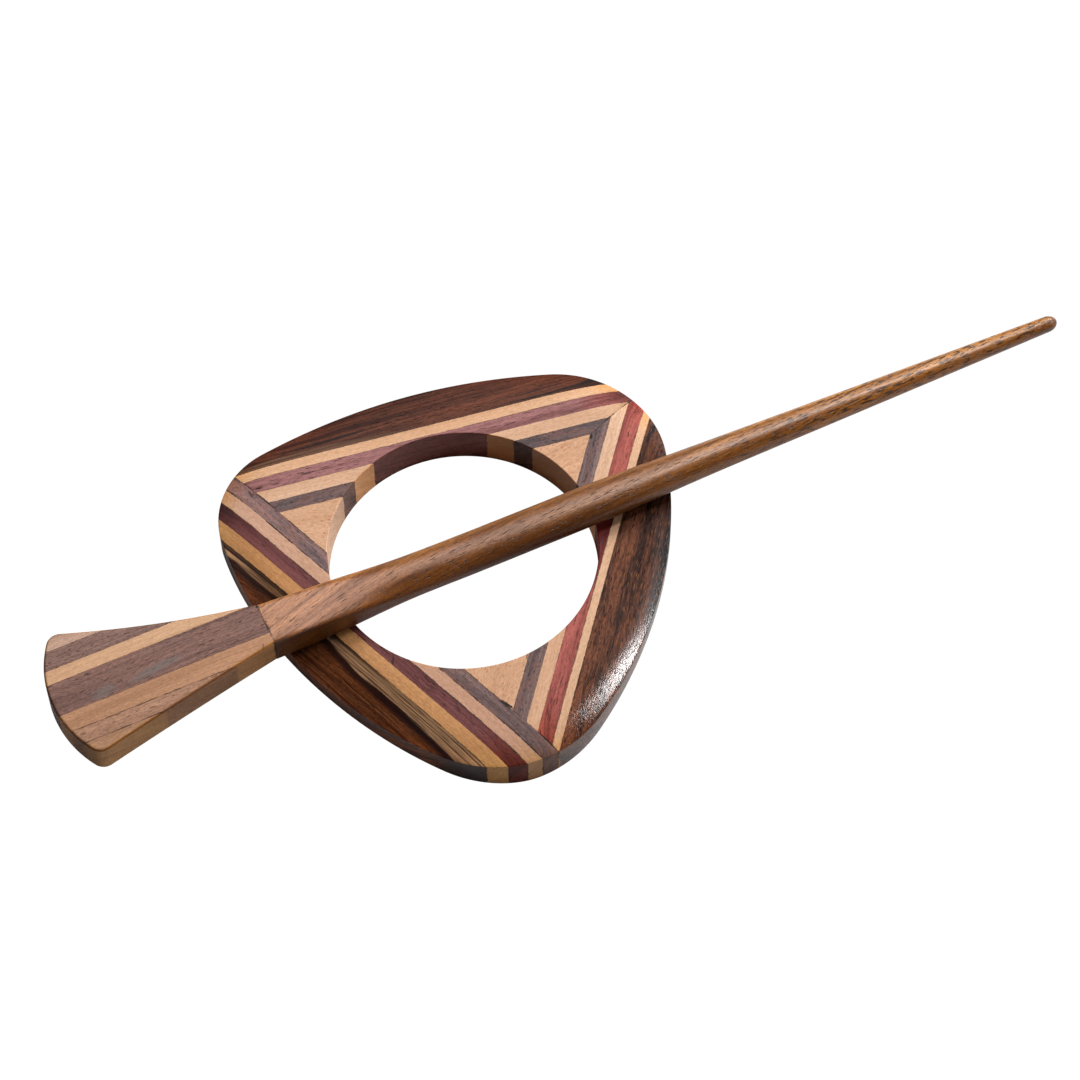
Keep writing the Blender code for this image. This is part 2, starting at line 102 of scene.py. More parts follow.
# Shaft sections: x, back y, front y, height, roundness, crispness of the bevels' edges,
# back bevel across and down, front bevel across and down (parts of the half sizes)
SHAFT = (
    (-30.5, 1.22, -5.42, 5.10, 0.00, 22.0, 0.03, 0.03, 0.03, 0.03),
    (-27.0, 1.05, -5.40, 5.08, 0.00, 22.0, 0.05, 0.05, 0.14, 0.06),
    (-24.0, 0.92, -5.39, 5.05, 0.00, 22.0, 0.12, 0.10, 0.34, 0.12),
    (-19.0, 0.82, -5.38, 5.00, 0.00, 20.0, 0.30, 0.22, 0.56, 0.24),
    (-14.5, 0.72, -5.37, 5.00, 0.10, 14.0, 0.48, 0.36, 0.74, 0.40),
    (-9.5, 0.64, -5.38, 5.00, 0.30, 11.0, 0.58, 0.50, 0.74, 0.56),
    (0.0, 0.60, -5.49, 4.90, 0.60, 9.0, 0.59, 0.59, 0.64, 0.60),
    (10.0, 0.56, -5.50, 4.85, 0.75, 8.0, 0.59, 0.59, 0.60, 0.60),
    (19.0, 0.50, -5.46, 4.80, 0.82, 8.0, 0.59, 0.59, 0.59, 0.59),
    (38.0, -0.09, -4.81, 4.40, 0.86, 8.0, 0.59, 0.59, 0.59, 0.59),
    (57.0, -0.52, -4.37, 3.70, 0.90, 8.0, 0.59, 0.59, 0.59, 0.59),
    (84.0, -1.08, -3.72, 2.64, 0.94, 8.0, 0.59, 0.59, 0.59, 0.59),
)
SHAFT_COLUMNS = 96


def unit(degrees):
    angle = math.radians(degrees)
    return Vector((math.cos(angle), math.sin(angle), 0.0))


def polar(point):
    return math.atan2(point.y, point.x) % (2.0 * math.pi)


NORMALS = {side: unit(degrees) for side, degrees in LATH_NORMAL.items()}
TANGENTS = {side: Vector((-normal.y, normal.x, 0.0)) for side, normal in NORMALS.items()}
CORNER_DIR = {name: (NORMALS[name[0]] + NORMALS[name[1]]).normalized() for name in CORNER_RADII}
MITRE = (NORMALS["A"] - NORMALS["B"]).normalized()
MITRE_DEG = math.degrees(math.atan2(MITRE.y, MITRE.x))


# --------------------------------------------------------------- mesh helpers
def quarter_round(radius, steps):
    """A quarter circle as (inset, height) pairs, from the face up to the wall."""
    angles = [0.5 * math.pi * i / steps for i in range(steps + 1)]
    return [(radius * (1.0 - math.sin(a)), radius * (1.0 - math.cos(a))) for a in angles]


def slab_profile(height, radius, steps, face_margins):
    """A wall with both edges rounded; face_margins place two points on each flat face."""
    lower = [(radius + margin, 0.0) for margin in face_margins]
    lower += quarter_round(radius, steps)
    lower.append((0.0, radius + 0.05))
    return lower + [(inset, height - z) for inset, z in reversed(lower)]


def bridge(mesh, loops):
    """Join each closed loop of vertices to the next one."""
    for low, high in zip(loops, loops[1:]):
        for i in range(len(low)):
            k = (i + 1) % len(low)
            mesh.faces.new((low[i], low[k], high[k], high[i]))


def cut_piece(source, planes):
    """A closed copy of source, without what lies on the normal side of each plane."""
    piece = source.copy()
    for point, normal in planes:
        geometry = piece.verts[:] + piece.edges[:] + piece.faces[:]
        bmesh.ops.bisect_plane(piece, geom=geometry, dist=1e-5, plane_co=point,
                               plane_no=normal, clear_outer=True, clear_inner=False)
        open_edges = [edge for edge in piece.edges if edge.is_boundary]
        if open_edges:
            bmesh.ops.holes_fill(piece, edges=open_edges, sides=0)
    bmesh.ops.remove_doubles(piece, verts=piece.verts[:], dist=1e-5)
    bmesh.ops.recalc_face_normals(piece, faces=piece.faces[:])
    return piece


def inside(direction, distance):
    """The plane that keeps what is nearer than distance."""
    return direction * (distance - 0.5 * FILM), direction


def outside(direction, distance):
    """The plane that keeps what is farther than distance."""
    return direction * (distance + 0.5 * FILM), -direction


def half(direction):
    """The plane through the hole's centre that keeps the side direction points to."""
    return Vector((0.0, 0.0, 0.0)), -direction


# ------------------------------------------------------------------ ring shape
def far_crossing(centre1, radius1, centre2, radius2, outward):
    """The crossing of two circles that lies farther in the direction outward."""
    between = centre2 - centre1
    distance = between.length
    along = (radius1 * radius1 - radius2 * radius2 + distance * distance) / (2.0 * distance)
    reach = math.sqrt(max(radius1 * radius1 - along * along, 0.0))
    middle = centre1 + between * (along / distance)
    across = Vector((-between.y, between.x, 0.0)) / distance
    return max(middle + across * reach, middle - across * reach,
               key=lambda point: point.dot(outward))


def rim_arcs():
    """The rim as (centre, radius, start angle, end angle), anticlockwise from side B."""
    order = ("B", "A", "C")
    circles = {}
    for side in order:
        degrees, middle, radius = SIDES[side]
        circles[side] = (unit(degrees) * (middle - radius), radius)
    corners = {}
    for i, side in enumerate(order):
        after = order[(i + 1) % 3]
        radius = CORNER_RADII[after + side]
        outward = unit(SIDES[side][0]) + unit(SIDES[after][0])
        centre = far_crossing(circles[side][0], circles[side][1] - radius,
                              circles[after][0], circles[after][1] - radius, outward)
        corners[side, after] = (centre, radius)

    def touch(side, corner):
        centre, radius = circles[side]
        return polar(centre + (corners[corner][0] - centre).normalized() * radius)

    arcs = []
    for i, side in enumerate(order):
        before, after = order[(i - 1) % 3], order[(i + 1) % 3]
        end = touch(side, (side, after))
        arcs.append((*circles[side], touch(side, (before, side)), end))
        arcs.append((*corners[side, after], end, touch(after, (side, after))))
    return arcs


ARCS = rim_arcs()


def rim_point(angle):
    """The rim's point and outward normal in a direction from the hole's centre."""
    full = 2.0 * math.pi
    for centre, radius, start, end in ARCS:
        if (angle - start) % full <= (end - start) % full:
            ray = Vector((math.cos(angle), math.sin(angle), 0.0))
            along = ray.dot(centre)
            length = along + math.sqrt(along * along - centre.dot(centre) + radius * radius)
            point = ray * length
            return point, (point - centre).normalized()
    raise ValueError("no arc at this angle")


def hole_centre():
    """Where the hole's centre is in the row frame, from the CAD's own ring."""
    points = [rim_point(2.0 * math.pi * (i + 0.5) / 120)[0] for i in range(120)]
    low = Vector((min(p.x for p in points), min(p.y for p in points), 0.0))
    corners = [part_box(node)[0] for node in frame["record"]["behaviour"]["bodies"]["ring"]]
    cad_low = Vector([min(corner[axis] for corner in corners) for axis in range(3)])
    return cad_low / MM - low


HOLE = hole_centre()


def corner_share(angle):
    """1 in the direction of a corner of the rounded triangle, 0 midway between two."""
    soft = 0.1
    off = abs(math.sin(1.5 * (angle - math.radians(LATH_NORMAL["A"] - 60.0))))
    softened = math.sqrt(off * off + soft * soft) - soft
    return 1.0 - softened / (math.sqrt(1.0 + soft * soft) - soft)


def rim_section(angle):
    """The rim's section as (inset, height) pairs, from the underside to the top."""
    share = corner_share(angle)
    foot, fall, width = (side + (corner - side) * share
                         for side, corner in (FOOT_ROUND, CROWN_FALL, CROWN_WIDTH))
    section = quarter_round(foot, 12)
    slope = 2.0 * fall / width
    top = RING_T - fall
    for inset, rise in ARRIS_POINTS + ((1.0, slope * 0.9),):
        section.append((ARRIS * inset, top + ARRIS * rise))
    for i in range(1, 15):
        part = ARRIS / width + (1.0 - ARRIS / width) * i / 14
        section.append((width * part, RING_T - fall * (1.0 - part) ** 2))
    return section


def ring_solid():
    """The whole ring as one closed mesh."""
    mesh = bmesh.new()
    hole_profile = slab_profile(RING_T, HOLE_EDGE, steps=3, face_margins=(0.5, 0.03))
    columns = []
    for i in range(RING_STEPS):
        angle = 2.0 * math.pi * (i + 0.5) / RING_STEPS
        point, normal = rim_point(angle)
        ray = Vector((math.cos(angle), math.sin(angle), 0.0))
        rim = []
        for inset, z in rim_section(angle):
            place = point - normal * inset
            rim.append(mesh.verts.new((place.x, place.y, z)))
        hole = []
        for out, z in hole_profile:
            place = ray * (HOLE_R + out)
            hole.append(mesh.verts.new((place.x, place.y, z)))
        columns.append(rim + hole[::-1])
    loops = list(zip(*columns))
    bridge(mesh, loops + loops[:1])
    bmesh.ops.recalc_face_normals(mesh, faces=mesh.faces[:])
    return mesh


# --------------------------------------------------------------- shader graphs
def operator(operation, swapped=False):
    def apply(self, other):
        terms = (other, self) if swapped else (self, other)
        return self.graph.math(operation, *terms)
    return apply


class Value:
    """An output socket; arithmetic on it adds Math nodes to its graph."""

    def __init__(self, graph, socket):
        self.graph = graph
        self.socket = socket

    __add__ = operator("ADD")
    __sub__ = operator("SUBTRACT")
    __rsub__ = operator("SUBTRACT", swapped=True)
    __mul__ = operator("MULTIPLY")
    __truediv__ = operator("DIVIDE")

    def __abs__(self):
        return self.graph.math("ABSOLUTE", self)


class Graph:
    """A material with helpers for building its node tree."""

    def __init__(self, name):
        self.material = bpy.data.materials.new(name)
        self.material.use_nodes = True
        self.tree = self.material.node_tree
        self.tree.nodes.clear()

    def node(self, kind, inputs=None, **properties):
        node = self.tree.nodes.new(kind)
        for key, setting in properties.items():
            setattr(node, key, setting)
        for key, value in (inputs or {}).items():
            self.put(node.inputs[key], value)
        return node

    def put(self, socket, value):
        """Link a value to a socket, or set the socket to a constant."""
        value = getattr(value, "socket", value)
        if isinstance(value, bpy.types.NodeSocket):
            self.tree.links.new(value, socket)
        elif socket.type == "RGBA":
            socket.default_value = (*value, 1.0)
        else:
            socket.default_value = value

    def result(self, kind, inputs, output=0, **properties):
        return Value(self, self.node(kind, inputs, **properties).outputs[output])

    def math(self, operation, *terms, clamp=False):
        return self.result("ShaderNodeMath", dict(enumerate(terms)), operation=operation,
                           use_clamp=clamp)

    def vector_math(self, operation, first, second):
        return self.result("ShaderNodeVectorMath", {0: first, 1: second}, operation=operation)

    def scale(self, vector, factor):
        return self.result("ShaderNodeVectorMath", {0: vector, "Scale": factor},
                           operation="SCALE")

    def dot(self, vector, direction):
        return self.result("ShaderNodeVectorMath", {0: vector, 1: tuple(direction)}, "Value",
                           operation="DOT_PRODUCT")

    def split(self, vector):
        node = self.node("ShaderNodeSeparateXYZ", {0: vector})
        return [Value(self, socket) for socket in node.outputs]

    def join(self, x, y, z):
        return self.result("ShaderNodeCombineXYZ", {0: x, 1: y, 2: z})

    def noise(self, vector, scale=1.0, detail=2.0, rough=0.5):
        return self.result("ShaderNodeTexNoise", {"Vector": vector, "Scale": scale,
                                                  "Detail": detail, "Roughness": rough})

    def remap(self, value, start, stop, low=0.0, high=1.0, smooth=True):
        """Carry start..stop to low..high."""
        kind = "SMOOTHSTEP" if smooth else "LINEAR"
        return self.result("ShaderNodeMapRange",
                           dict(enumerate((value, start, stop, low, high))),
                           interpolation_type=kind)

    def mix(self, share, first, second, blend="MIX"):
        return self.result("ShaderNodeMix", {0: share, 6: first, 7: second}, 2,
                           data_type="RGBA", blend_type=blend)

    def tint(self, colour, factors):
        return self.mix(1.0, colour, factors, "MULTIPLY")

    def surface_normal(self):
        """The parts of the surface normal, from a Geometry node of their own."""
        return self.split(self.node("ShaderNodeNewGeometry").outputs["Normal"])


# ----------------------------------------------------------------------- wood
# A glue joint: its normal's angle, its distance along that normal, the strength of its
# dark line, the neighbour's colour, which side the piece is on (1 beyond the joint,
# -1 before it) and how far the meeting wavers.
Joint = namedtuple("Joint", "angle distance ink neighbour side waver", defaults=(None, 1, 0.34))

LAYER_TILT = math.radians(35.0)     # tilt of the growth layers about the grain
JOINT_INK = (0.020, 0.010, 0.007)


def tinted(colour, factors):
    return tuple(part * factor for part, factor in zip(colour, factors))


def span(mean, low, high):
    """The dark and light ends of a wood's colour range."""
    return tinted(mean, low), tinted(mean, high)


class Wood(Graph):
    """A solid wood whose grain runs at the angle grain in the XY plane.

    Each step below changes the colour or the height made so far.  Scales are
    cycles or cells per millimetre.
    """

    def __init__(self, name, grain, seed, bend):
        super().__init__(name)
        self.grain_axis = unit(grain)
        coordinates = self.node("ShaderNodeTexCoord")
        self.geometry = self.node("ShaderNodeNewGeometry")
        place = self.scale(coordinates.outputs["Object"], 1.0 / MM)
        self.place = self.vector_math("SUBTRACT", place, tuple(HOLE))
        turned = self.result("ShaderNodeVectorRotate",
                             {"Vector": self.place, "Angle": -math.radians(grain)},
                             rotation_type="Z_AXIS")
        if bend:
            turned = bend(self, turned)
        shift = (seed * 17.3, seed * 5.1, seed * 3.7)
        self.grain_place = self.vector_math("ADD", turned, shift)
        self.x, self.y, self.z = self.split(self.grain_place)
        # the grain wanders slowly as it runs
        broad = self.field((0.045, 0.12, 0.12), wavy=False)
        self.wavy_y = self.y + (broad - 0.5) * 1.8
        small = self.field((0.22, 0.5, 1.0), detail=1.0, wavy=False)
        self.wavy_y = self.wavy_y + (small - 0.5) * 0.36
        # growth layers are planes along the grain, tilted about it
        cos, sin = math.cos(LAYER_TILT), math.sin(LAYER_TILT)
        self.layer = self.wavy_y * cos + self.z * sin
        self.layer_run = self.z * cos - self.wavy_y * sin

    def field(self, stretch, scale=1.0, detail=2.0, rough=0.5, wavy=True):
        """Noise stretched along the grain."""
        across = self.wavy_y if wavy else self.y
        vector = self.join(self.x * stretch[0], across * stretch[1], self.z * stretch[2])
        return self.noise(vector, scale, detail, rough)

    def layered(self, along, across, detail=3.0):
        """Noise lying in the growth layers."""
        vector = self.join(self.x * along, self.layer * across, self.layer_run * (across * 0.2))
        return self.noise(vector, detail=detail, rough=0.6)

    def cloud(self, scale, detail=2.0, rough=0.5):
        """Noise that takes no heed of the grain."""
        return self.noise(self.scale(self.place, scale), detail=detail, rough=rough)

    def cells(self, size, across):
        """Distance to and colour of the nearest cell, cells being long with the grain."""
        vector = self.join(self.x * size[0], across * size[1], self.z * size[1])
        node = self.node("ShaderNodeTexVoronoi", {"Vector": vector, "Scale": 1.0})
        return Value(self, node.outputs["Distance"]), node.outputs["Color"]

    def lay_bands(self, dark, light, scale=0.5, contrast=1.0, fine_along=0.05, fine_ratio=5.0,
                  fine_amount=0.9):
        bands = self.layered(0.02, scale)
        fine = self.layered(fine_along, scale * fine_ratio, detail=2.0)
        tone = (bands - 0.5) * (2.2 * contrast) + (fine - 0.5) * (fine_amount * contrast)
        tone = self.math("ADD", tone, 0.5, clamp=True)
        self.colour = self.mix(tone, dark, light)

    def add_mottle(self, strength, colour, scale):
        patches = self.field((0.35, 1.0, 1.0), scale, detail=3.0, rough=0.6)
        share = self.remap(patches, 0.42, 0.66) * strength
        self.colour = self.mix(share, self.colour, colour)

    def add_streaks(self, colour, limits, scale):
        share = self.remap(self.layered(0.018, scale, detail=4.0), *limits)
        self.colour = self.mix(share, self.colour, colour)

    def add_fibres(self, strength=0.12, scale=9.0, ridge=0.3):
        self.coarse = self.field((0.45, 1.0, 1.0), scale * 0.5, detail=3.0, rough=0.75)
        fine = self.field((0.12, 1.0, 1.0), scale, detail=2.0, rough=0.6)
        self.fibres = self.coarse * 0.55 + fine * 0.45
        shade = self.remap(self.fibres, 0.36, 0.62, 1.0 - strength, 1.0 + strength, smooth=False)
        self.colour = self.tint(self.colour, self.join(shade, shade, shade))
        self.height = self.fibres * ridge

    def add_rays(self, strength, colour):
        rays = self.field((0.9, 2.6, 2.6), 2.2, detail=3.0, rough=0.7, wavy=False)
        share = self.remap(rays, 0.50, 0.68, 0.0, strength)
        self.colour = self.mix(share, self.colour, colour)

    def add_flecks(self, strength, colour, size=(0.7, 3.2)):
        distance, cell = self.cells(size, self.wavy_y)
        chosen = self.math("GREATER_THAN", self.split(cell)[0], 0.5)
        share = self.remap(distance, 0.36, 0.14) * chosen * strength
        self.colour = self.mix(share, self.colour, colour)

    def add_pores(self, strength, size, colour):
        """Dark pits in two sizes, the finer ones fainter, gathered in patches."""
        gate = self.field((0.07, 0.5, 1.0), 0.9)
        for fine, pit_size in ((False, size), (True, (size[0] * 1.7, size[1] * 1.8))):
            wavering = self.wavy_y + (self.coarse - 0.5) * 0.25
            distance, cell = self.cells(pit_size, wavering)
            chance = self.split(cell)[1] + (gate - 0.5) * 0.9
            chosen = self.math("GREATER_THAN", chance, 0.5)
            pit = self.remap(distance, 0.33, 0.15) * chosen
            if fine:
                pit = pit * 0.6
            self.colour = self.mix(pit * strength, self.colour, colour)
            self.height = self.height - pit * 1.0

    def tint_and_shade_edges(self, edge_tint_and_shade=(1.0, 0.90, 0.70), flat_limits=(0.955, 0.995), arris_shade=None):
        """Colour factors for edges and walls against the flat faces: partly the richer colour of
        burnished edges, partly painted light and shade for how the walls and tilted edges are
        lit.
        """
        self.upright = abs(self.split(self.geometry.outputs["Normal"])[2])
        steep = self.remap(self.upright, flat_limits[1], flat_limits[0])
        self.colour = self.mix(steep, self.colour, self.tint(self.colour, edge_tint_and_shade))
        # the arris factors darken the rounded edges: painted shade
        if arris_shade:
            edge = self.remap(self.upright, 0.97, 0.80) * self.remap(self.upright, 0.10, 0.35)
            self.colour = self.mix(edge, self.colour, self.tint(self.colour, arris_shade))

    def darken_ends(self, strength):
        """End grain drinks the finish and goes darker, with a closer figure."""
        facing = abs(self.dot(self.geometry.outputs["True Normal"], self.grain_axis))
        end = self.remap(facing, 0.25, 0.95)
        pits = self.field((0.4, 1.0, 1.0), 7.0, detail=3.0, rough=0.7)
        dark = self.tint(self.colour, (0.62, 0.60, 0.58))
        darkest = self.tint(self.colour, (0.30, 0.28, 0.26))
        dark = self.mix(self.remap(pits, 0.35, 0.65, 0.0, 0.5), dark, darkest)
        self.colour = self.mix(end * strength, self.colour, dark)

    def add_spots(self, spots, ragged):
        """Ragged ellipses: x, y, angle, half length, half width, colour, strength."""
        place_x, place_y, _ = self.split(self.place)
        for x, y, degrees, length, width, colour, strength in spots:
            cos, sin = math.cos(math.radians(degrees)), math.sin(math.radians(degrees))
            off_x, off_y = place_x - x, place_y - y
            along = off_x * (cos / length) + off_y * (sin / length)
            across = off_y * (cos / width) - off_x * (sin / width)
            reach = self.math("SQRT", along * along + across * across)
            reach = reach + (ragged - 0.5) * 1.6
            share = self.remap(reach, 1.15, 0.55) * strength
            self.colour = self.mix(share, self.colour, colour)

    def add_joints(self, joints, ragged, wall_ink):
        """A ragged meeting with each neighbour and a broken dark line."""
        slow = self.cloud(0.45)
        if wall_ink < 1.0:
            upright = abs(self.split(self.geometry.outputs["Normal"])[2])
        for joint in joints:
            beyond = self.dot(self.place, unit(joint.angle)) - joint.distance
            beyond = beyond + (ragged - 0.5) * joint.waver
            if joint.neighbour:
                share = self.remap(beyond * float(joint.side), 0.02, -0.03)
                self.colour = self.mix(share, self.colour, joint.neighbour)
            width = self.remap(slow, 0.38, 0.62, 0.35, 1.0) * (0.10 * joint.ink)
            off = abs(beyond) / self.math("MAXIMUM", width, 0.004)
            faint, full = min(0.9, 0.30 * joint.ink), min(1.0, 0.85 * joint.ink)
            ink = self.remap(off, 1.5, 0.3) * self.remap(slow, 0.34, 0.58, faint, full)
            # lines are fainter on the walls, except the strong one at the seam
            if wall_ink < 1.0 and joint.ink < 2.0:
                ink = ink * self.remap(upright, 0.30, 0.80, wall_ink, 1.0)
            self.colour = self.mix(ink, self.colour, JOINT_INK)
            self.height = self.height - ink * 0.6

    def bump(self, strength):
        return self.result("ShaderNodeBump", {"Strength": strength, "Distance": 0.00010,
                                              "Height": self.height})

    def finish(self, rough=0.46, bump=0.5, coat=0.12, coat_rough=0.26, coat_ior=1.5,
               coat_flat=0.15, shine=0.15, dull_flat=False, polish=None, wall_shine=None):
        """The surface.  The curved rim is buffed; the flat tops are left duller.

        coat_flat is the part of the coat left on flat faces, dull_flat limits the
        shine there too, polish varies the coat over the top and wall_shine is the
        walls' own shine.
        """
        roughness = (self.cloud(0.5, detail=4.0, rough=0.6) - 0.5) * 0.14 + rough
        roughness = roughness + (0.5 - self.fibres) * 0.20
        buffed = self.remap(self.upright, 0.9997, 0.988, coat * coat_flat, coat)
        if polish:
            wall = self.remap(self.upright, 0.65, 0.35)
            buffed = buffed * self.math("MAXIMUM", polish(self), wall)
        gloss = shine
        if dull_flat:
            gloss = self.remap(self.upright, 0.9997, 0.988, min(shine, 0.15), shine)
        if wall_shine is not None:
            gloss = self.remap(self.upright, 0.65, 0.35, gloss, wall_shine)
        shader = self.node("ShaderNodeBsdfPrincipled", {
            "Base Color": self.colour,
            "Roughness": roughness,
            "Coat Weight": buffed,
            "Specular IOR Level": gloss,
            "Coat Roughness": coat_rough,
            "Coat IOR": coat_ior,
            "Normal": self.bump(bump),
            "Coat Normal": self.bump(bump * 0.30),
        })
        self.node("ShaderNodeOutputMaterial", {0: shader.outputs[0]})


def wood(name, grain, colours, seed, bend=None, bands={}, mottle=None, streaks=None, fibres={},
         rays=0.0, flecks=None, pores=None, figure=None, edges={}, end_dark=0.35, spots=(),
         joints=(), wall_ink=1.0, finish={}):
    """A wood material; the dictionaries hold the settings of the steps of Wood.

    colours are the dark and light ends of the range, bend reshapes the grain and
    figure is a piece's own change of colour.
    """
    graph = Wood(name, grain, seed, bend)
    graph.lay_bands(*colours, **bands)
    if mottle:
        graph.add_mottle(**mottle)
    if streaks:
        graph.add_streaks(**streaks)
    graph.add_fibres(**fibres)
    if rays:
        graph.add_rays(rays, tinted(colours[0], (0.80, 0.66, 0.52)))
    if flecks:
        graph.add_flecks(**flecks)
    if pores:
        graph.add_pores(**pores)
    if figure:
        figure(graph)
    graph.tint_and_shade_edges(**edges)
    graph.darken_ends(end_dark)
    if spots or joints:
        ragged = graph.cloud(4.2, detail=3.0, rough=0.75)
    if spots:
        graph.add_spots(spots, ragged)
    if joints:
        graph.add_joints(joints, ragged, wall_ink)
    graph.finish(**finish)
    return graph.material


def add_piece(node, body, shape, material, sharp_angle=35.0):
    """Put a finished piece in the row frame, riding on its body, in place of its CAD node."""
    for vert in shape.verts:
        vert.co = (vert.co + HOLE) * MM
    mesh = bpy.data.meshes.new("v_" + node)
    shape.to_mesh(mesh)
    shape.free()
    for polygon in mesh.polygons:
        polygon.use_smooth = True
    mesh.set_sharp_from_angle(angle=math.radians(sharp_angle))
    mesh.materials.append(material)
    obj = bpy.data.objects.new("v_" + node, mesh)
    bpy.context.scene.collection.objects.link(obj)
    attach(obj, body)
    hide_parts(node)


# ----------------------------------------------------------------- ring woods
# Average colour of each lath, from the outside in
RING_COLOUR = {
    "A": ((0.080, 0.021, 0.0095), (0.745, 0.430, 0.248), (0.262, 0.108, 0.104),
          (0.71, 0.425, 0.267), (0.154, 0.105, 0.101)),
    "B": ((0.099, 0.0375, 0.0212), (0.72, 0.43, 0.260), (0.330, 0.080, 0.062),
          (0.71, 0.43, 0.275), (0.162, 0.104, 0.096)),
    "C": ((0.072, 0.0235, 0.0095), (0.530, 0.250, 0.094), (0.136, 0.038, 0.036),
          (0.595, 0.335, 0.220), (0.164, 0.100, 0.092)),
}
CORNER_COLOUR = (0.697, 0.400, 0.241)
# Strength of the dark line at each joint, from the outside in
RING_INK = {"A": (0.5, 0.7, 0.5, 0.4, 0.6), "B": (0.6, 0.8, 0.5, 0.5, 0.6),
            "C": (0.9, 0.5, 1.0, 1.1, 1.1)}
# How far the outer blocks' grain turns from their side
OUTER_GRAIN_TURN = {"A": 1.5, "B": 2.0, "C": 0.0}
CORNER_SEED = {"BC": 0.31, "CA": 0.67}
CORNER_GRAIN = {"AB": 10.0, "BC": 42.0, "CA": -20.0}
# Colour factors of edges and walls, for the corner blocks and for lath ends: partly the walls'
# richer colour, partly painted light and shade; the darker factors at corner AB are painted
# shade under the stick, the paler ones at CA and at the C end by BC painted light
CORNER_EDGE_TINT_AND_SHADE = {"AB": (0.62, 0.52, 0.42), "BC": (1.0, 0.88, 0.66), "CA": (1.18, 1.30, 1.40)}
END_EDGE_TINT_AND_SHADE = {("C", "BC"): (0.98, 1.10, 1.22), ("A", "AB"): (0.58, 0.50, 0.44),
            ("A", "CA"): (1.15, 1.15, 1.22)}
# Colour factors of the red laths' edges and walls: partly their richer colour, partly painted
# shade
RED_EDGE_TINT_AND_SHADE = {"A": (0.55, 0.43, 0.36), "B": (0.95, 0.60, 0.50), "C": (0.92, 0.84, 0.74)}
# Colour factors of single half laths
PALE_INNER_TINT = {("C", "CA"): (1.08, 1.13, 1.17), ("C", "BC"): (0.95, 0.93, 0.91),
                   ("B", "AB"): (1.06, 1.11, 1.14), ("B", "BC"): (0.98, 0.94, 0.90)}
GREY_TINT = {("C", "CA"): (1.58, 1.66, 1.68), ("B", "AB"): (1.07, 1.11, 1.15)}
# Red laths: colour factors that come in from the first place along the side to the second
RED_SHADES = {
    "A": ((20.0, 28.0, (1.0, 0.62, 0.55)),),
    # on side B the darkening from 3 to -1, undone again from -9 to -14, is partly the lath's
    # deeper crimson and partly painted shadow of the stick above it
    "B": ((20.0, 26.0, (0.95, 0.66, 0.42)), (3.0, -1.0, (0.50, 0.22, 0.20)),
          (-9.0, -14.0, (2.10, 4.60, 5.00))),
    "C": ((24.0, 29.5, (0.55, 0.34, 0.34)), (-21.0, -27.0, (1.10, 0.62, 0.38))),
}
# the near black of small voids, chips and open glue gaps: painted shade, as the voids are not
# cut into the pieces
VOID_SHADE = (0.014, 0.008, 0.006)
# Small blemishes: x, y, angle, half length, half width, colour, strength
RING_SPOTS = {
    "B_4_AB": ((24.2, 9.1, 60.0, 0.45, 0.28, VOID_SHADE, 1.0), (20.6, 3.2, 50.0, 1.1, 0.16, VOID_SHADE, 0.6)),
    "C_4_BC": ((-4.95, -24.9, 114.0, 1.25, 0.17, VOID_SHADE, 1.0),
               (-9.3, -22.0, 100.0, 3.6, 0.55, (0.085, 0.046, 0.040), 0.55),
               (-6.6, -27.6, 130.0, 2.2, 0.7, (0.100, 0.050, 0.042), 0.5),
               (-8.2, -19.0, 111.4, 0.9, 0.14, VOID_SHADE, 0.6)),
    "C_4_CA": ((-23.5, 21.0, 100.0, 0.8, 0.25, (0.045, 0.020, 0.016), 0.7),
               (-20.6, 16.2, 111.4, 0.9, 0.14, VOID_SHADE, 0.6)),
    "A_5_AB": ((24.0, 8.9, 60.0, 0.30, 0.20, VOID_SHADE, 0.8),),
    "B_5_BC": ((-4.62, -25.1, 117.0, 1.25, 0.22, VOID_SHADE, 1.0),
               (-3.6, -25.6, 60.0, 0.7, 0.14, (0.10, 0.045, 0.025), 0.7),
               (1.0, -19.35, 52.0, 0.6, 0.13, (0.16, 0.07, 0.035), 0.8)),
    "A_2": ((-22.2, 21.3, -14.0, 0.8, 0.16, VOID_SHADE, 0.8), (-19.6, 20.9, -8.0, 0.7, 0.12, VOID_SHADE, 0.7),
            (-14.9, 20.7, -8.0, 1.0, 0.18, VOID_SHADE, 0.7), (-10.6, 19.4, -8.6, 0.9, 0.10, VOID_SHADE, 0.6)),
    "B_2": ((18.6, -6.6, 52.0, 1.5, 0.22, (0.10, 0.035, 0.060), 0.7),
            (3.5, -25.0, 52.0, 1.0, 0.15, (0.06, 0.010, 0.008), 0.6)),
    "C_2": ((-16.1, -12.2, 60.0, 0.9, 0.20, (0.030, 0.010, 0.010), 0.8),
            (-11.0, -22.6, 80.0, 1.0, 0.30, (0.060, 0.022, 0.022), 0.5)),
    "C_1": ((-19.0, -12.0, 115.0, 1.6, 0.12, (0.30, 0.12, 0.05), 0.6),),
}


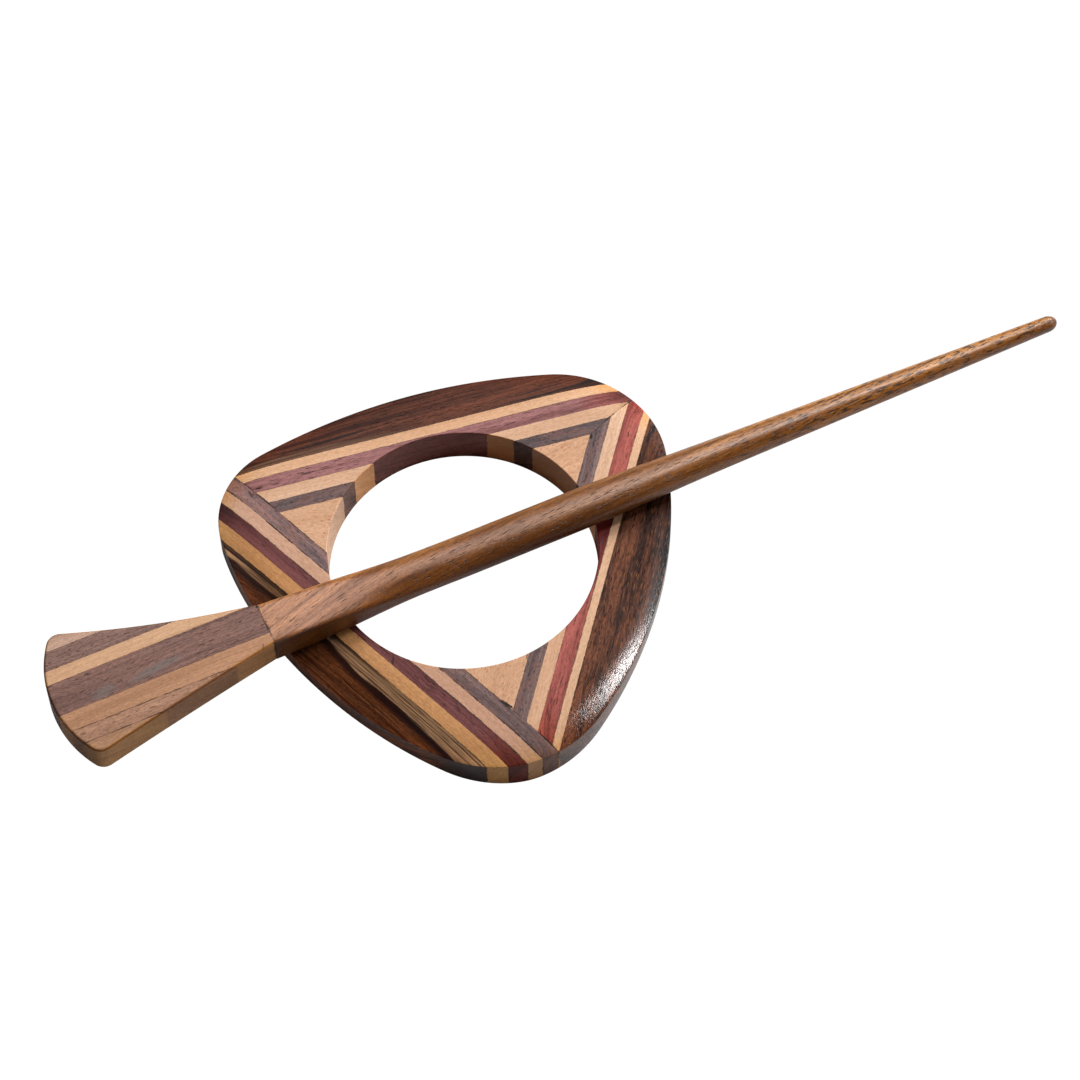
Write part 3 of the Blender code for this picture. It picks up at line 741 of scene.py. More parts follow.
def ring_joints(side, layer):
    """The glue joints round one layer of a side."""
    if layer == 5:
        return [Joint(LATH_NORMAL[k], JOINTS[k][4], 0.8, RING_COLOUR[k][4], -1) for k in "ABC"]
    colours = RING_COLOUR[side] + (CORNER_COLOUR,)
    joints = []
    for k, neighbour, own_side in ((layer, layer + 1, 1), (layer - 1, layer - 1, -1)):
        if k >= 0:
            joints.append(Joint(LATH_NORMAL[side], JOINTS[side][k], RING_INK[side][k],
                                colours[neighbour], own_side))
    if side in "AB":
        joints.append(Joint(MITRE_DEG, 0.0, 1.2))
        joints.append(Joint(LATH_NORMAL["C"], JOINTS["C"][4], 1.3, RING_COLOUR["C"][4], -1))
    return joints


def along_side(graph, side):
    """Distance along a side, clockwise seen from above, from its middle."""
    return graph.dot(graph.place, unit(LATH_NORMAL[side] - 90.0))


def sapwood_lines(graph, side):
    """Places and line noise for a strip of sapwood beside the pale outer lath."""
    depth = graph.dot(graph.place, NORMALS[side]) - JOINTS[side][0]
    along = along_side(graph, side)
    lines = graph.noise(graph.join(along * 0.05, depth * 3.4, 0.0), detail=4.0, rough=0.7)
    drift = graph.noise(graph.join(along * 0.10, depth * 0.3, 3.0))
    wavy = depth + (drift - 0.5) * 1.2 + (lines - 0.5) * 1.0
    return depth, along, lines, wavy


def lay_sapwood(graph, beyond, sapwood, black, ink, margin):
    """Lay the strip on the top, with a black margin of the given strength outside it."""
    sapwood = graph.mix(ink * 0.85, sapwood, black)
    graph.colour = graph.mix(graph.remap(beyond, 1.5, 0.5) * margin, graph.colour, black)
    top = graph.remap(abs(graph.surface_normal()[2]), 0.30, 0.90)
    graph.colour = graph.mix(graph.remap(beyond, 0.15, -0.15) * top, graph.colour, sapwood)


def sapwood_a(graph):
    _, along, lines, wavy = sapwood_lines(graph, "A")
    width = graph.remap(along, -16.0, 2.0, 0.85, 0.05)
    sapwood = graph.mix(graph.remap(lines, 0.38, 0.62),
                        (0.085, 0.036, 0.020), (0.190, 0.092, 0.050))
    lay_sapwood(graph, wavy - width, sapwood, black=(0.018, 0.008, 0.006),
                ink=graph.remap(lines, 0.58, 0.66), margin=0.35)


def sapwood_c(graph):
    """Paler sapwood with black streaks and a black edge."""
    depth, along, lines, wavy = sapwood_lines(graph, "C")
    width = graph.remap(along, -40.0, -26.0, 1.5, 2.1) * graph.remap(along, -4.0, 4.0, 1.0, 0.58)
    hairs = graph.noise(graph.join(along * 0.12, depth * 7.5, 8.0), detail=3.0, rough=0.7)
    sapwood = graph.mix(graph.remap(lines, 0.40, 0.58),
                        (0.115, 0.052, 0.026), (0.370, 0.215, 0.115))
    edge = graph.remap(wavy + graph.remap(along, -6.0, 4.0, 0.25, -0.20), 0.60, 0.25)
    edge = edge * graph.remap(along, -8.0, 4.0, 0.60, 1.0)
    ink = graph.math("MAXIMUM", graph.remap(lines, 0.58, 0.64), edge)
    ink = graph.math("MAXIMUM", ink, graph.remap(hairs, 0.53, 0.61) * 0.9)
    lay_sapwood(graph, wavy - width, sapwood, black=(0.011, 0.005, 0.005), ink=ink, margin=0.88)


def polish_b(graph):
    """How well the rim is polished along side B."""
    along = along_side(graph, "B")
    start = graph.remap(along, -16.0, 4.0, 0.05, 1.0)
    return start * graph.remap(along, 11.0, 21.0, 1.0, 0.38)


def shade_b(graph):
    """Darker heartwood towards corner AB."""
    share = graph.remap(along_side(graph, "B"), -1.0, -15.0)
    dark = graph.tint(graph.colour, (0.60, 0.58, 0.57))
    graph.colour = graph.mix(share, graph.colour, dark)


def red_shades(side):
    def shade(graph):
        along = along_side(graph, side)
        along = along + (graph.cloud(0.35, detail=3.0, rough=0.6) - 0.5) * 5.0
        for start, stop, factors in RED_SHADES[side]:
            shaded = graph.tint(graph.colour, factors)
            graph.colour = graph.mix(graph.remap(along, start, stop), graph.colour, shaded)
    return shade


def outer_block_a(mean, common):
    return wood(
        **common, colours=span(mean, (0.50, 0.42, 0.42), (2.10, 2.20, 2.20)),
        bands=dict(scale=0.55, contrast=1.9, fine_amount=1.3),
        streaks=dict(colour=(0.014, 0.006, 0.005), limits=(0.53, 0.62), scale=1.1),
        fibres=dict(strength=0.38, ridge=0.7),
        pores=dict(strength=0.8, size=(0.45, 5.0), colour=(0.010, 0.005, 0.004)),
        figure=sapwood_a, edges=dict(edge_tint_and_shade=(1.0, 0.80, 0.62)))


def outer_block_b(mean, common):
    return wood(
        **common, colours=span(mean, (0.40, 0.38, 0.44), (1.95, 1.70, 1.40)),
        bands=dict(scale=0.5, contrast=1.6, fine_along=0.25, fine_ratio=6.0, fine_amount=1.6),
        streaks=dict(colour=(0.022, 0.014, 0.014), limits=(0.56, 0.68), scale=0.55),
        fibres=dict(strength=0.50, scale=7.0, ridge=1.3),
        flecks=dict(strength=0.85, colour=(0.26, 0.100, 0.034), size=(0.55, 4.2)),
        pores=dict(strength=0.9, size=(0.60, 3.8), colour=(0.014, 0.008, 0.008)),
        figure=shade_b, edges=dict(edge_tint_and_shade=(1.0, 0.90, 0.80)),
        finish=dict(rough=0.42, bump=0.8, coat=0.86, coat_flat=0.04, coat_rough=0.13,
                    coat_ior=1.60, shine=0.06, dull_flat=True, polish=polish_b))


def outer_block_c(mean, common):
    return wood(
        **common, colours=span(mean, (0.50, 0.36, 0.36), (1.75, 1.70, 1.45)),
        bands=dict(scale=0.70, contrast=1.5, fine_ratio=6.0, fine_amount=2.0),
        streaks=dict(colour=(0.012, 0.006, 0.005), limits=(0.60, 0.70), scale=1.2),
        fibres=dict(strength=0.42, ridge=0.7),
        pores=dict(strength=0.7, size=(0.45, 4.6), colour=(0.010, 0.005, 0.004)),
        # walls much lighter than the top: painted light
        figure=sapwood_c, edges=dict(edge_tint_and_shade=(1.75, 1.60, 1.45)),
        finish=dict(shine=0.0, wall_shine=0.42, coat=0.12, coat_flat=0.0))


def golden_lath(mean, common):
    """The pale outer lath of side C."""
    return wood(
        **common, colours=span(mean, (0.84, 0.80, 0.74), (1.14, 1.18, 1.22)),
        bands=dict(scale=0.8), fibres=dict(strength=0.22), rays=0.40,
        flecks=dict(strength=0.25, colour=(0.30, 0.12, 0.035)),
        edges=dict(edge_tint_and_shade=(1.14, 1.20, 1.12)))


def pale_lath(mean, common, end_tint_and_shade):
    return wood(
        **common, colours=span(mean, (0.88, 0.82, 0.76), (1.10, 1.14, 1.18)),
        bands=dict(scale=0.7), fibres=dict(strength=0.17), rays=0.35,
        flecks=dict(strength=0.35, colour=tinted(mean, (0.72, 0.52, 0.40))),
        edges=dict(edge_tint_and_shade=tinted((1.02, 0.86, 0.56), end_tint_and_shade)))


def red_lath(mean, common, side):
    return wood(
        **common, colours=span(mean, (0.58, 0.42, 0.42), (1.42, 1.50, 1.50)),
        bands=dict(scale=0.6, contrast=1.5, fine_amount=1.4), fibres=dict(strength=0.26),
        rays=0.25,
        pores=dict(strength=0.8, size=(0.40, 4.4), colour=tinted(mean, (0.16, 0.14, 0.14))),
        figure=red_shades(side), edges=dict(edge_tint_and_shade=RED_EDGE_TINT_AND_SHADE[side]))


def grey_lath(mean, common, end_tint_and_shade):
    return wood(
        **common, colours=span(mean, (0.50, 0.50, 0.56), (1.48, 1.46, 1.42)),
        bands=dict(scale=0.6, contrast=1.5), fibres=dict(strength=0.30),
        mottle=dict(strength=0.6, colour=tinted(mean, (1.40, 1.00, 0.86)), scale=0.7),
        pores=dict(strength=0.8, size=(1.1, 5.2), colour=(0.022, 0.013, 0.012)),
        edges=dict(edge_tint_and_shade=tinted((1.0, 0.78, 0.60), end_tint_and_shade)))


def corner_block(common, corner):
    mean = CORNER_COLOUR
    return wood(
        **common, colours=span(mean, (0.86, 0.80, 0.74), (1.10, 1.13, 1.16)),
        bands=dict(scale=0.5), fibres=dict(strength=0.20), rays=0.40,
        flecks=dict(strength=0.80, colour=tinted(mean, (0.66, 0.40, 0.30)), size=(1.1, 3.8)),
        edges=dict(edge_tint_and_shade=CORNER_EDGE_TINT_AND_SHADE[corner]))


OUTER_BLOCKS = {"A": outer_block_a, "B": outer_block_b, "C": outer_block_c}


def ring_material(side, layer, corner=""):
    """The wood of a layer, 0 outermost to 4, or of a corner block, which is layer 5."""
    label = "%s_%d" % (side, layer) + ("_" + corner if corner else "")
    grain = LATH_NORMAL[side] - 90.0
    if layer == 0:
        grain += OUTER_GRAIN_TURN[side]
    elif layer == 5:
        grain = CORNER_GRAIN[corner]
    seed = 1.0 + "ABC".index(side) * 7 + layer * 1.7 + CORNER_SEED.get(corner, 0.0)
    common = dict(name="wood_" + label, grain=grain, seed=seed,
                  joints=ring_joints(side, layer), spots=RING_SPOTS.get(label, ()))
    if layer == 5:
        return corner_block(common, corner)
    mean = RING_COLOUR[side][layer]
    end_tint_and_shade = END_EDGE_TINT_AND_SHADE.get((side, corner), (1.0, 1.0, 1.0))
    if layer == 0:
        return OUTER_BLOCKS[side](mean, common)
    if layer == 1:
        return golden_lath(mean, common) if side == "C" else pale_lath(mean, common, end_tint_and_shade)
    if layer == 2:
        return red_lath(mean, common, side)
    if layer == 3:
        mean = tinted(mean, PALE_INNER_TINT.get((side, corner), (1.01, 1.02, 1.03)))
        return pale_lath(mean, common, end_tint_and_shade)
    mean = tinted(mean, GREY_TINT.get((side, corner), (1.0, 1.0, 1.0)))
    return grey_lath(mean, common, end_tint_and_shade)


RING_LAYERS = ("outer_block", "pale_outer_lath", "red_lath", "pale_inner_lath", "grey_lath")
CORNERS_OF = {"A": ("AB", "CA"), "B": ("BC", "AB"), "C": ("CA", "BC")}


def build_ring():
    whole = ring_solid()
    # A and B meet in a mitre at their corner, and both stop at C
    stop_at_c = inside(NORMALS["C"], JOINTS["C"][4])
    ends = {"A": [outside(MITRE, 0.0), stop_at_c], "B": [inside(MITRE, 0.0), stop_at_c], "C": []}
    for side in "ABC":
        normal, tangent = NORMALS[side], TANGENTS[side]
        for layer, layer_name in enumerate(RING_LAYERS):
            planes = ends[side] + [outside(normal, JOINTS[side][layer])]
            if layer:
                planes.append(inside(normal, JOINTS[side][layer - 1]))
            node = "ring_%s_%s" % (side, layer_name)
            if layer < 3:
                add_piece(node, "ring", cut_piece(whole, planes), ring_material(side, layer))
                continue
            # the hole parts the two inner layers into halves
            for corner in CORNERS_OF[side]:
                sign = 1.0 if CORNER_DIR[corner].dot(tangent) > 0.0 else -1.0
                add_piece("%s_at_%s" % (node, corner), "ring",
                          cut_piece(whole, planes + [half(tangent * sign)]),
                          ring_material(side, layer, corner))
    for corner in ("AB", "BC", "CA"):
        planes = [inside(NORMALS[side], JOINTS[side][4]) for side in "ABC"]
        planes.append(half(CORNER_DIR[corner]))
        add_piece("ring_corner_block_" + corner, "ring", cut_piece(whole, planes),
                  ring_material(corner[0], 5, corner))
    whole.free()


# ----------------------------------------------------------------------- head
def head_edge(edge, x):
    start, slope, curve = edge
    run = SEAM_X - x
    return start + slope * run + curve * run * run


def edge_point(edge, x):
    return Vector((x, head_edge(edge, x), 0.0))


def fillet_centre(edge, inward_sign, end_centre):
    """The centre of the corner arc that touches a long edge and the end arc."""

    def centre_at(x):
        step = 0.01
        slope = (head_edge(edge, x + step) - head_edge(edge, x - step)) / (2.0 * step)
        inward = Vector((slope, -1.0, 0.0)).normalized() * inward_sign
        return edge_point(edge, x) + inward * HEAD_CORNER_R

    low, high = HEAD_END_X - 2.0, SEAM_X - 8.0
    for _ in range(60):
        x = 0.5 * (low + high)
        if (centre_at(x) - end_centre).length > HEAD_END_R - HEAD_CORNER_R:
            low = x
        else:
            high = x
    return x, centre_at(x)


def arc_points(centre, radius, start, end, steps):
    angles = (start + (end - start) * i / steps for i in range(steps + 1))
    return [centre + Vector((math.cos(a), math.sin(a), 0.0)) * radius for a in angles]


def head_outline():
    """From beyond the seam along the back, round the end and along the front."""
    end_centre = Vector((HEAD_END_X + HEAD_END_R, HEAD_END_Y, 0.0))
    back_x, back_centre = fillet_centre(HEAD_BACK, 1.0, end_centre)
    front_x, front_centre = fillet_centre(HEAD_FRONT, -1.0, end_centre)
    start = SEAM_X + 2.0
    steps = 60
    points = [edge_point(HEAD_BACK, start + (back_x - start) * i / steps)
              for i in range(steps)]
    back_end = polar(back_centre - end_centre)
    front_end = polar(front_centre - end_centre)
    back_start = polar(edge_point(HEAD_BACK, back_x) - back_centre)
    front_start = polar(edge_point(HEAD_FRONT, front_x) - front_centre)
    points += arc_points(back_centre, HEAD_CORNER_R, back_start, back_end, 14)
    points += arc_points(end_centre, HEAD_END_R, back_end, front_end, 48)[1:-1]
    points += arc_points(front_centre, HEAD_CORNER_R, front_end, front_start, 14)
    points += [edge_point(HEAD_FRONT, front_x + (start - front_x) * i / steps)
               for i in range(1, steps + 1)]
    return points


def head_solid():
    points = head_outline()
    count = len(points)
    normals = []
    for i in range(count):
        along = points[(i + 1) % count] - points[i - 1]
        normals.append(Vector((along.y, -along.x, 0.0)).normalized())
    mesh = bmesh.new()
    loops = []
    for inset, z in slab_profile(HEAD_T, HEAD_EDGE, steps=5, face_margins=(0.45, 0.05)):
        loops.append([mesh.verts.new((point.x - normal.x * inset, point.y - normal.y * inset,
                                      STICK_Z + z))
                      for point, normal in zip(points, normals)])
    bridge(mesh, loops)
    mesh.faces.new(loops[0])
    mesh.faces.new(loops[-1])
    bmesh.ops.recalc_face_normals(mesh, faces=mesh.faces[:])
    return mesh


# Laths of the head, from the back to the front
HEAD_COLOUR = (
    (0.545, 0.340, 0.245), (0.262, 0.144, 0.114), (0.71, 0.42, 0.243), (0.218, 0.111, 0.087),
    (0.505, 0.260, 0.142), (0.400, 0.208, 0.128), (0.43, 0.225, 0.125),
)
HEAD_INK = (0.4, 0.4, 0.4, 0.5, 0.9, 1.0)
# Colour factors of the head laths' edges and walls: partly their richer colour, partly painted
# light and shade
HEAD_EDGE_TINT_AND_SHADE = {4: (1.06, 1.02, 0.78), 5: (0.90, 0.82, 0.66), 6: (1.06, 1.00, 0.68)}
HEAD_SPOTS = {
    3: ((-46.8, -2.2, 6.0, 4.4, 0.75, (0.190, 0.155, 0.145), 0.65),
        (-54.5, -2.6, 10.0, 2.0, 0.9, (0.200, 0.160, 0.150), 0.55),
        (-33.6, -0.4, 20.0, 0.35, 0.12, (0.04, 0.016, 0.010), 0.8)),
    4: ((-32.2, -5.2, 60.0, 0.5, 0.18, (0.16, 0.07, 0.035), 0.6),),
}
SEAM_JOINT = Joint(angle=0.0, distance=SEAM_X, ink=2.2, waver=1.3)


def brown_head_lath(mean, common, pore_along):
    return wood(
        **common, colours=span(mean, (0.66, 0.64, 0.64), (1.32, 1.34, 1.34)),
        bands=dict(scale=0.5, contrast=1.5, fine_amount=1.6),
        mottle=dict(strength=0.3, colour=tinted(mean, (0.80, 0.90, 1.0)), scale=0.4),
        fibres=dict(strength=0.36, ridge=0.6),
        pores=dict(strength=0.75, size=(pore_along, 3.6),
                   colour=tinted(mean, (0.30, 0.26, 0.26))))


def porous_head_lath(mean, common):
    return wood(
        **common, colours=span(mean, (0.80, 0.78, 0.76), (1.20, 1.22, 1.24)),
        bands=dict(scale=0.6, contrast=1.2), fibres=dict(strength=0.30, ridge=0.5),
        pores=dict(strength=0.65, size=(0.55, 3.4), colour=tinted(mean, (0.40, 0.34, 0.30))))


def pale_head_lath(mean, common):
    return wood(
        **common, colours=span(mean, (0.86, 0.80, 0.74), (1.10, 1.12, 1.16)),
        bands=dict(scale=0.9, contrast=1.2), fibres=dict(strength=0.18), rays=0.3,
        flecks=dict(strength=0.2, colour=tinted(mean, (0.75, 0.6, 0.45))))


def flecked_head_lath(mean, common):
    return wood(
        **common, colours=span(mean, (0.84, 0.80, 0.76), (1.14, 1.16, 1.18)),
        bands=dict(scale=0.8, contrast=1.2), fibres=dict(strength=0.24), rays=0.4,
        flecks=dict(strength=0.35, colour=tinted(mean, (0.70, 0.54, 0.44))))


def head_material(i):
    normal = HEAD_LATH_ANGLE + 90.0
    joints = []
    for k, neighbour, own_side in ((i - 1, i - 1, -1), (i, i + 1, 1)):
        if 0 <= k < len(HEAD_JOINTS):
            distance = Vector((HEAD_LATH_X, HEAD_JOINTS[k], 0.0)).dot(unit(normal))
            joints.append(Joint(normal, distance, HEAD_INK[k], HEAD_COLOUR[neighbour], own_side))
    joints.append(SEAM_JOINT)
    # darker rounded edges of the head: painted shade
    arris_shade = (0.82, 0.62, 0.36) if i == 4 else (0.64, 0.46, 0.25)
    common = dict(
        name="wood_head_%d" % (i + 1), grain=HEAD_LATH_ANGLE,
        seed=(50.0 if i in (0, 4, 6) else 40.0) + i,
        joints=joints, spots=HEAD_SPOTS.get(i, ()), wall_ink=0.12, end_dark=1.0,
        edges=dict(edge_tint_and_shade=HEAD_EDGE_TINT_AND_SHADE.get(i, (0.97, 0.90, 0.70)), arris_shade=arris_shade),
        finish=dict(rough=0.55, coat=0.0, shine=0.25))
    mean = HEAD_COLOUR[i]
    if i in (1, 3):
        return brown_head_lath(mean, common, pore_along=0.9 if i == 1 else 0.6)
    if i == 5:
        return porous_head_lath(mean, common)
    if i == 2:
        return pale_head_lath(mean, common)
    return flecked_head_lath(mean, common)


def build_head():
    whole = head_solid()
    angle = math.radians(HEAD_LATH_ANGLE)
    across = Vector((-math.sin(angle), math.cos(angle), 0.0))
    joint_points = [Vector((HEAD_LATH_X, y, 0.0)) for y in HEAD_JOINTS]
    seam = (Vector((SEAM_X - 0.5 * FILM, 0.0, 0.0)), Vector((1.0, 0.0, 0.0)))
    for i in range(len(HEAD_COLOUR)):
        planes = [seam]
        if i:
            planes.append((joint_points[i - 1] - across * 0.5 * FILM, across))
        if i < len(HEAD_JOINTS):
            planes.append((joint_points[i] + across * 0.5 * FILM, -across))
        add_piece("stick_head_lath_%d" % (i + 1), "stick", cut_piece(whole, planes),
                  head_material(i))
    whole.free()


# ---------------------------------------------------------------------- shaft
def shaft_station(x):
    """The shaft's section at x, on a smooth curve through the stations."""
    if x <= SHAFT[0][0]:
        return SHAFT[0][1:]
    i = 0
    while i < len(SHAFT) - 2 and x > SHAFT[i + 1][0]:
        i += 1
    start, end = SHAFT[i], SHAFT[i + 1]
    length = end[0] - start[0]
    t = (x - start[0]) / length
    if t > 1.0 or i == 0:
        return tuple(low + (high - low) * t for low, high in zip(start[1:], end[1:]))

    def slope(first, second, column):
        return (second[column] - first[column]) / (second[0] - first[0])

    t2, t3 = t * t, t * t * t
    section = []
    for k in range(1, len(start)):
        here = slope(start, end, k)
        before = slope(SHAFT[i - 1], start, k)
        after = slope(end, SHAFT[i + 2], k) if i + 2 < len(SHAFT) else here
        section.append((2 * t3 - 3 * t2 + 1) * start[k]
                       + (t3 - 2 * t2 + t) * length * 0.5 * (here + before)
                       + (-2 * t3 + 3 * t2) * end[k]
                       + (t3 - t2) * length * 0.5 * (here + after))
    return tuple(section)


def section_radius(angle, roundness, crisp, bevels):
    """Radius of a bevelled square of half size 1, blended towards a circle."""
    cos, sin = math.cos(angle), math.sin(angle)
    back_across, back_down, front_across, front_down = bevels
    across, down = (back_across, back_down) if cos > 0.0 else (front_across, front_down)
    whole = down + across - down * across
    reach = (abs(cos) * down + abs(sin) * across) / whole
    total = abs(cos) ** crisp + abs(sin) ** crisp + reach ** crisp
    level = (1.0 + (0.5 * (down + across) / whole) ** crisp) ** (1.0 / crisp)
    square = level * total ** (-1.0 / crisp)
    return square + (1.0 - square) * roundness


def shaft_rows(straight_end):
    """(x, scale of the section) from the seam to the rounded tip."""
    rows = [(SEAM_X + 0.5 * FILM, 1.0), (SEAM_X + 0.12, 1.0)]
    x = SEAM_X + 0.5
    while x < straight_end:
        rows.append((x, 1.0))
        x += 0.5 if x < 5.0 else 1.0
    rows.append((straight_end, 1.0))
    for i in range(1, 12):
        angle = 0.5 * math.pi * i / 12.0
        rows.append((straight_end + TIP_ROUND * math.sin(angle), math.cos(angle)))
    return rows


def shaft_solid():
    straight_end = TIP_X - TIP_ROUND
    mesh = bmesh.new()
    loops = []
    for x, scale in shaft_rows(straight_end):
        back, front, height, roundness, crisp, *bevels = shaft_station(min(x, straight_end))
        middle_y, middle_z = 0.5 * (back + front), STICK_Z + 0.5 * height
        half_width, half_height = 0.5 * (back - front), 0.5 * height
        loop = []
        for k in range(SHAFT_COLUMNS):
            angle = 2.0 * math.pi * (k + 0.5) / SHAFT_COLUMNS
            radius = section_radius(angle, roundness, crisp, bevels) * scale
            loop.append(mesh.verts.new((x, middle_y + math.cos(angle) * radius * half_width,
                                        middle_z + math.sin(angle) * radius * half_height)))
        loops.append(loop)
    bridge(mesh, loops)
    mesh.faces.new(loops[0])
    # the last section is at the straight end's station, so the tip shares its middle
    tip = mesh.verts.new((TIP_X, middle_y, middle_z))
    last = loops[-1]
    for i in range(SHAFT_COLUMNS):
        mesh.faces.new((last[i], last[(i + 1) % SHAFT_COLUMNS], tip))
    bmesh.ops.recalc_face_normals(mesh, faces=mesh.faces[:])
    return mesh


def bend_shaft_grain(graph, place):
    """The grain crosses the shaft at a slant near the head and straightens out."""
    straighten = 24.0   # distance over which the slant dies away
    x, y, z = graph.split(place)
    fall = graph.math("POWER", 2.718, (x + abs(SEAM_X)) * (-1.0 / straighten))
    return graph.join(x, y - x * 0.06 + fall * (0.30 * straighten), z)


def shade_shaft(graph):
    x = graph.split(graph.place)[0]
    drift = graph.cloud(0.12)
    # rosier near the head, browner and more golden further on
    golden_and_side_shade = graph.remap(x + (drift - 0.5) * 16.0, -26.0, 12.0)
    _, normal_y, normal_z = graph.surface_normal()
    # tilted faces take the darker golden tint and flat tops the lighter one: painted shade on
    # the sides and painted sheen on the top, over the wood's own tone
    golden_and_side_shade = graph.math("MAXIMUM", golden_and_side_shade, graph.remap(normal_z, 0.75, 0.40))
    graph.colour = graph.mix(golden_and_side_shade, graph.tint(graph.colour, (1.12, 1.12, 1.14)),
                             graph.tint(graph.colour, (0.76, 0.74, 0.62)))
    # the side bevels that face the front get painted shade, darker near the head and more golden
    # further on; those that face the back get painted light, lighter and paler
    front = graph.mix(graph.remap(x, 14.0, 32.0), (0.62, 0.56, 0.42), (0.98, 0.94, 0.66))
    graph.colour = graph.mix(graph.remap(normal_y, -0.22, -0.60), graph.colour,
                             graph.tint(graph.colour, front))
    # painted light: back bevels made lighter and paler
    graph.colour = graph.mix(graph.remap(normal_y, 0.25, 0.65), graph.colour,
                             graph.tint(graph.colour, (1.46, 1.70, 2.10)))
    # pale and golden with dark dashes towards the tip
    pale = graph.remap(x + (drift - 0.5) * 20.0, 24.0, 62.0)
    graph.colour = graph.mix(pale, graph.colour, graph.tint(graph.colour, (1.34, 1.40, 1.20)))
    grain_x, grain_y, grain_z = graph.split(graph.grain_place)
    dashes = graph.noise(graph.join(grain_x * 0.55, grain_y * 3.2, grain_z * 3.2), rough=0.6)
    strength = pale * 0.58 + graph.remap(x, -22.0, -4.0, 0.05, 0.34)
    graph.colour = graph.mix(graph.remap(dashes, 0.52, 0.61) * strength, graph.colour,
                             (0.070, 0.030, 0.014))


def shaft_material():
    mean = (0.412, 0.172, 0.074)
    return wood(
        "wood_shaft", grain=0.0, seed=60.0,
        colours=span(mean, (0.52, 0.44, 0.40), (1.46, 1.55, 1.62)),
        bend=bend_shaft_grain, bands=dict(scale=0.45, contrast=0.95, fine_amount=1.25),
        streaks=dict(colour=(0.15, 0.060, 0.027), limits=(0.58, 0.72), scale=0.8),
        fibres=dict(strength=0.30, ridge=0.6),
        pores=dict(strength=1.0, size=(0.40, 4.2), colour=(0.030, 0.014, 0.009)),
        figure=shade_shaft, joints=(SEAM_JOINT,),
        # tilted faces darker and more golden: partly the wood's colour, partly painted shade
        edges=dict(edge_tint_and_shade=(0.71, 0.565, 0.255), flat_limits=(0.91, 0.995)),
        finish=dict(rough=0.36, coat=0.10, shine=0.55))


def build_shaft():
    add_piece("stick_shaft", "stick", shaft_solid(), shaft_material(), sharp_angle=28.0)


def finish_dowel():
    """The dowel is hidden in its bore; it keeps its CAD shape."""
    material = wood("wood_dowel", grain=0.0, seed=70.0,
                    colours=((0.55, 0.35, 0.18), (0.72, 0.48, 0.27)),
                    finish=dict(coat=0.0, rough=0.7))
    dowel = frame["nodes"]["stick_dowel"]
    dowel.data.materials.clear()
    dowel.data.materials.append(material)


build_ring()
build_head()
build_shaft()
finish_dowel()

# ------------------------------------------------------------- stage and light
VIEW_TURN = -24.2       # turn of the view about z, from looking square at the stick
WHITE_LEVEL = 1.02      # brightness of the floor and background to the camera
LIGHT_DISTANCE = 800.0
LIGHT_TARGET = (20.0, 0.0, 5.0)
# Softboxes: name, bearing in the view (0 right, 90 away), elevation, width and height
# in metres, power in watts
SOFTBOXES = (
    ("window", 50.0, 31.5, 0.33, 0.33, 4.3),
    ("spot", 37.0, 65.0, 0.14, 0.09, 2.1),
    ("back", 90.0, 58.0, 0.30, 0.30, 1.5),
    ("side", 5.0, 28.0, 0.30, 0.30, 1.3),
    ("back_left", 135.0, 45.0, 0.30, 0.30, 0.6),
)
CAMERA_PLACE = (10.829925, -272.14068, 474.16466)   # across, into and above the view
CAMERA_TILT = 59.70     # downwards from level
CAMERA_ROLL = -0.818
CAMERA_LENS = 128.68


def in_view(x, y, z):
    """A point given across, into and above the view, about the hole's centre."""
    cos, sin = math.cos(math.radians(VIEW_TURN)), math.sin(math.radians(VIEW_TURN))
    return Vector((HOLE.x + x * cos - y * sin, HOLE.y + x * sin + y * cos, z)) * MM


def add_floor():
    """A table that the camera sees as white and everything else as pale and matt."""
    mesh = bpy.data.meshes.new("floor")
    mesh.from_pydata([(-3, -3, 0), (3, -3, 0), (3, 3, 0), (-3, 3, 0)], [], [(0, 1, 2, 3)])
    obj = bpy.data.objects.new("floor", mesh)
    obj.location = (0.0, 0.0, -0.00002)
    bpy.context.scene.collection.objects.link(obj)
    graph = Graph("floor_white")
    path = graph.node("ShaderNodeLightPath")
    matt = graph.node("ShaderNodeBsdfDiffuse", {0: (0.80, 0.80, 0.80)})
    glow = graph.node("ShaderNodeEmission", {0: (1.0, 1.0, 1.0), 1: WHITE_LEVEL})
    choice = graph.node("ShaderNodeMixShader", {
        0: path.outputs["Is Camera Ray"], 1: matt.outputs[0], 2: glow.outputs[0]})
    graph.node("ShaderNodeOutputMaterial", {0: choice.outputs[0]})
    mesh.materials.append(graph.material)


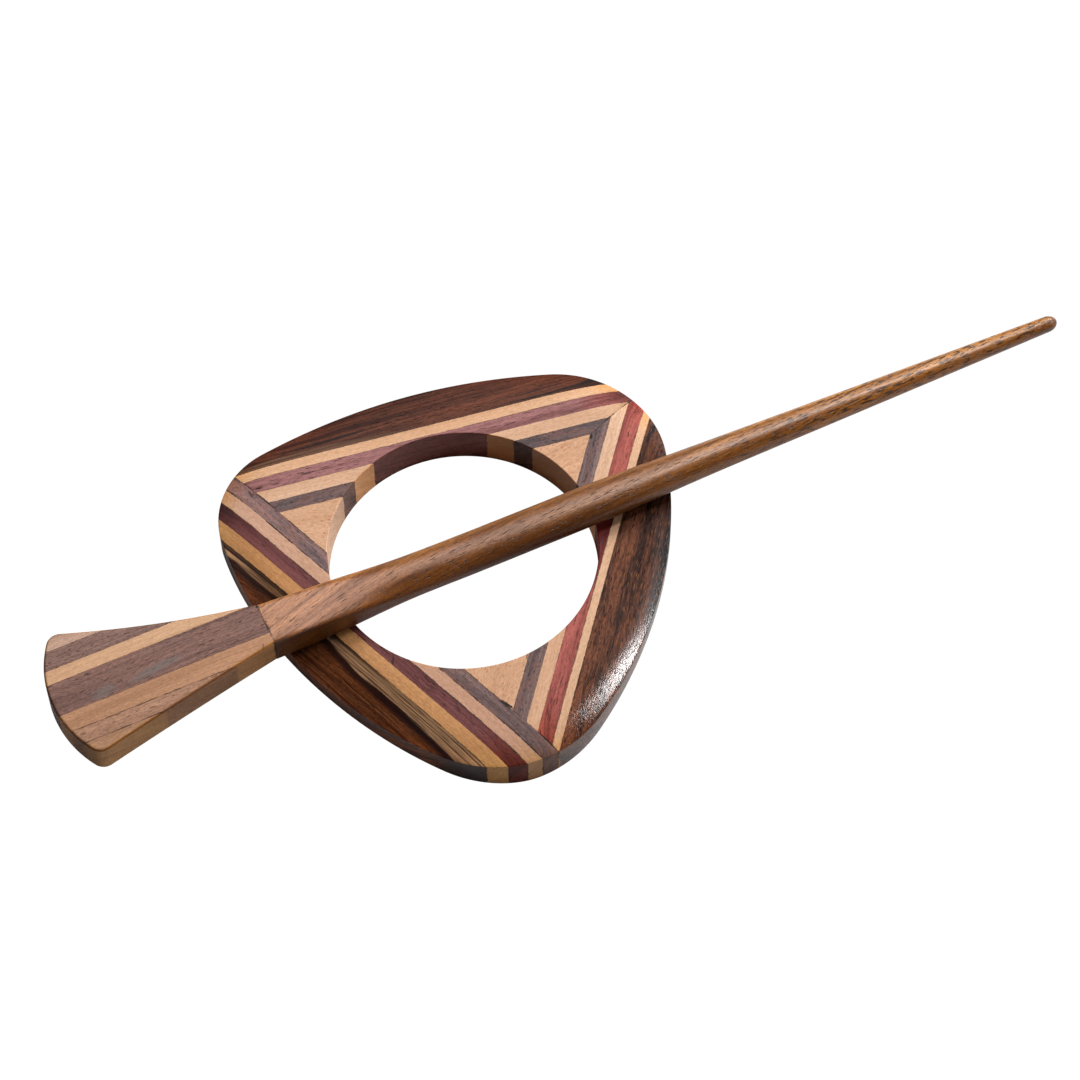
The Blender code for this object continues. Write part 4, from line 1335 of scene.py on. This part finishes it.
def add_softbox(name, bearing, elevation, width, height, power):
    light = bpy.data.lights.new(name, "AREA")
    light.shape = "RECTANGLE"
    light.size = width
    light.size_y = height
    light.energy = power
    obj = bpy.data.objects.new(name, light)
    across, up = math.radians(bearing), math.radians(elevation)
    x, y, z = LIGHT_TARGET
    level = LIGHT_DISTANCE * math.cos(up)
    obj.location = in_view(x + level * math.cos(across), y + level * math.sin(across),
                           z + LIGHT_DISTANCE * math.sin(up))
    bpy.context.scene.collection.objects.link(obj)
    aim = (in_view(*LIGHT_TARGET) - obj.location).normalized()
    obj.rotation_euler = aim.to_track_quat("-Z", "Y").to_euler()
    obj.visible_camera = False


def add_world():
    """White behind the table, but hardly any light from it."""
    world = bpy.data.worlds.new("studio")
    bpy.context.scene.world = world
    world.use_nodes = True
    tree = world.node_tree
    sky = tree.nodes["Background"]
    sky.inputs[0].default_value = (1.0, 1.0, 1.0, 1.0)
    path = tree.nodes.new("ShaderNodeLightPath")
    level = tree.nodes.new("ShaderNodeMapRange")
    level.inputs[3].default_value = 0.03            # as a light
    level.inputs[4].default_value = WHITE_LEVEL     # to the camera
    tree.links.new(path.outputs["Is Camera Ray"], level.inputs[0])
    tree.links.new(level.outputs[0], sky.inputs[1])


def add_camera():
    data = bpy.data.cameras.new("camera")
    data.sensor_width = 36.0
    data.lens = CAMERA_LENS
    data.clip_start = 0.01
    data.clip_end = 20.0
    camera = bpy.data.objects.new("camera", data)
    bpy.context.scene.collection.objects.link(camera)
    tilt, roll = math.radians(CAMERA_TILT), math.radians(CAMERA_ROLL)
    forward = Vector((0.0, math.cos(tilt), -math.sin(tilt)))
    right = Vector((1.0, 0.0, 0.0))
    up = right.cross(forward)
    rolled_right = right * math.cos(roll) + up * math.sin(roll)
    rolled_up = up * math.cos(roll) - right * math.sin(roll)
    turn = Matrix.Rotation(math.radians(VIEW_TURN), 3, "Z")
    axes = [turn @ axis for axis in (rolled_right, rolled_up, -forward)]
    rotation = Matrix(axes).transposed().to_4x4()
    camera.matrix_world = Matrix.Translation(in_view(*CAMERA_PLACE)) @ rotation
    bpy.context.scene.camera = camera


add_floor()
for softbox in SOFTBOXES:
    add_softbox(*softbox)
add_world()
add_camera()
bpy.context.scene.view_settings.view_transform = "Standard"
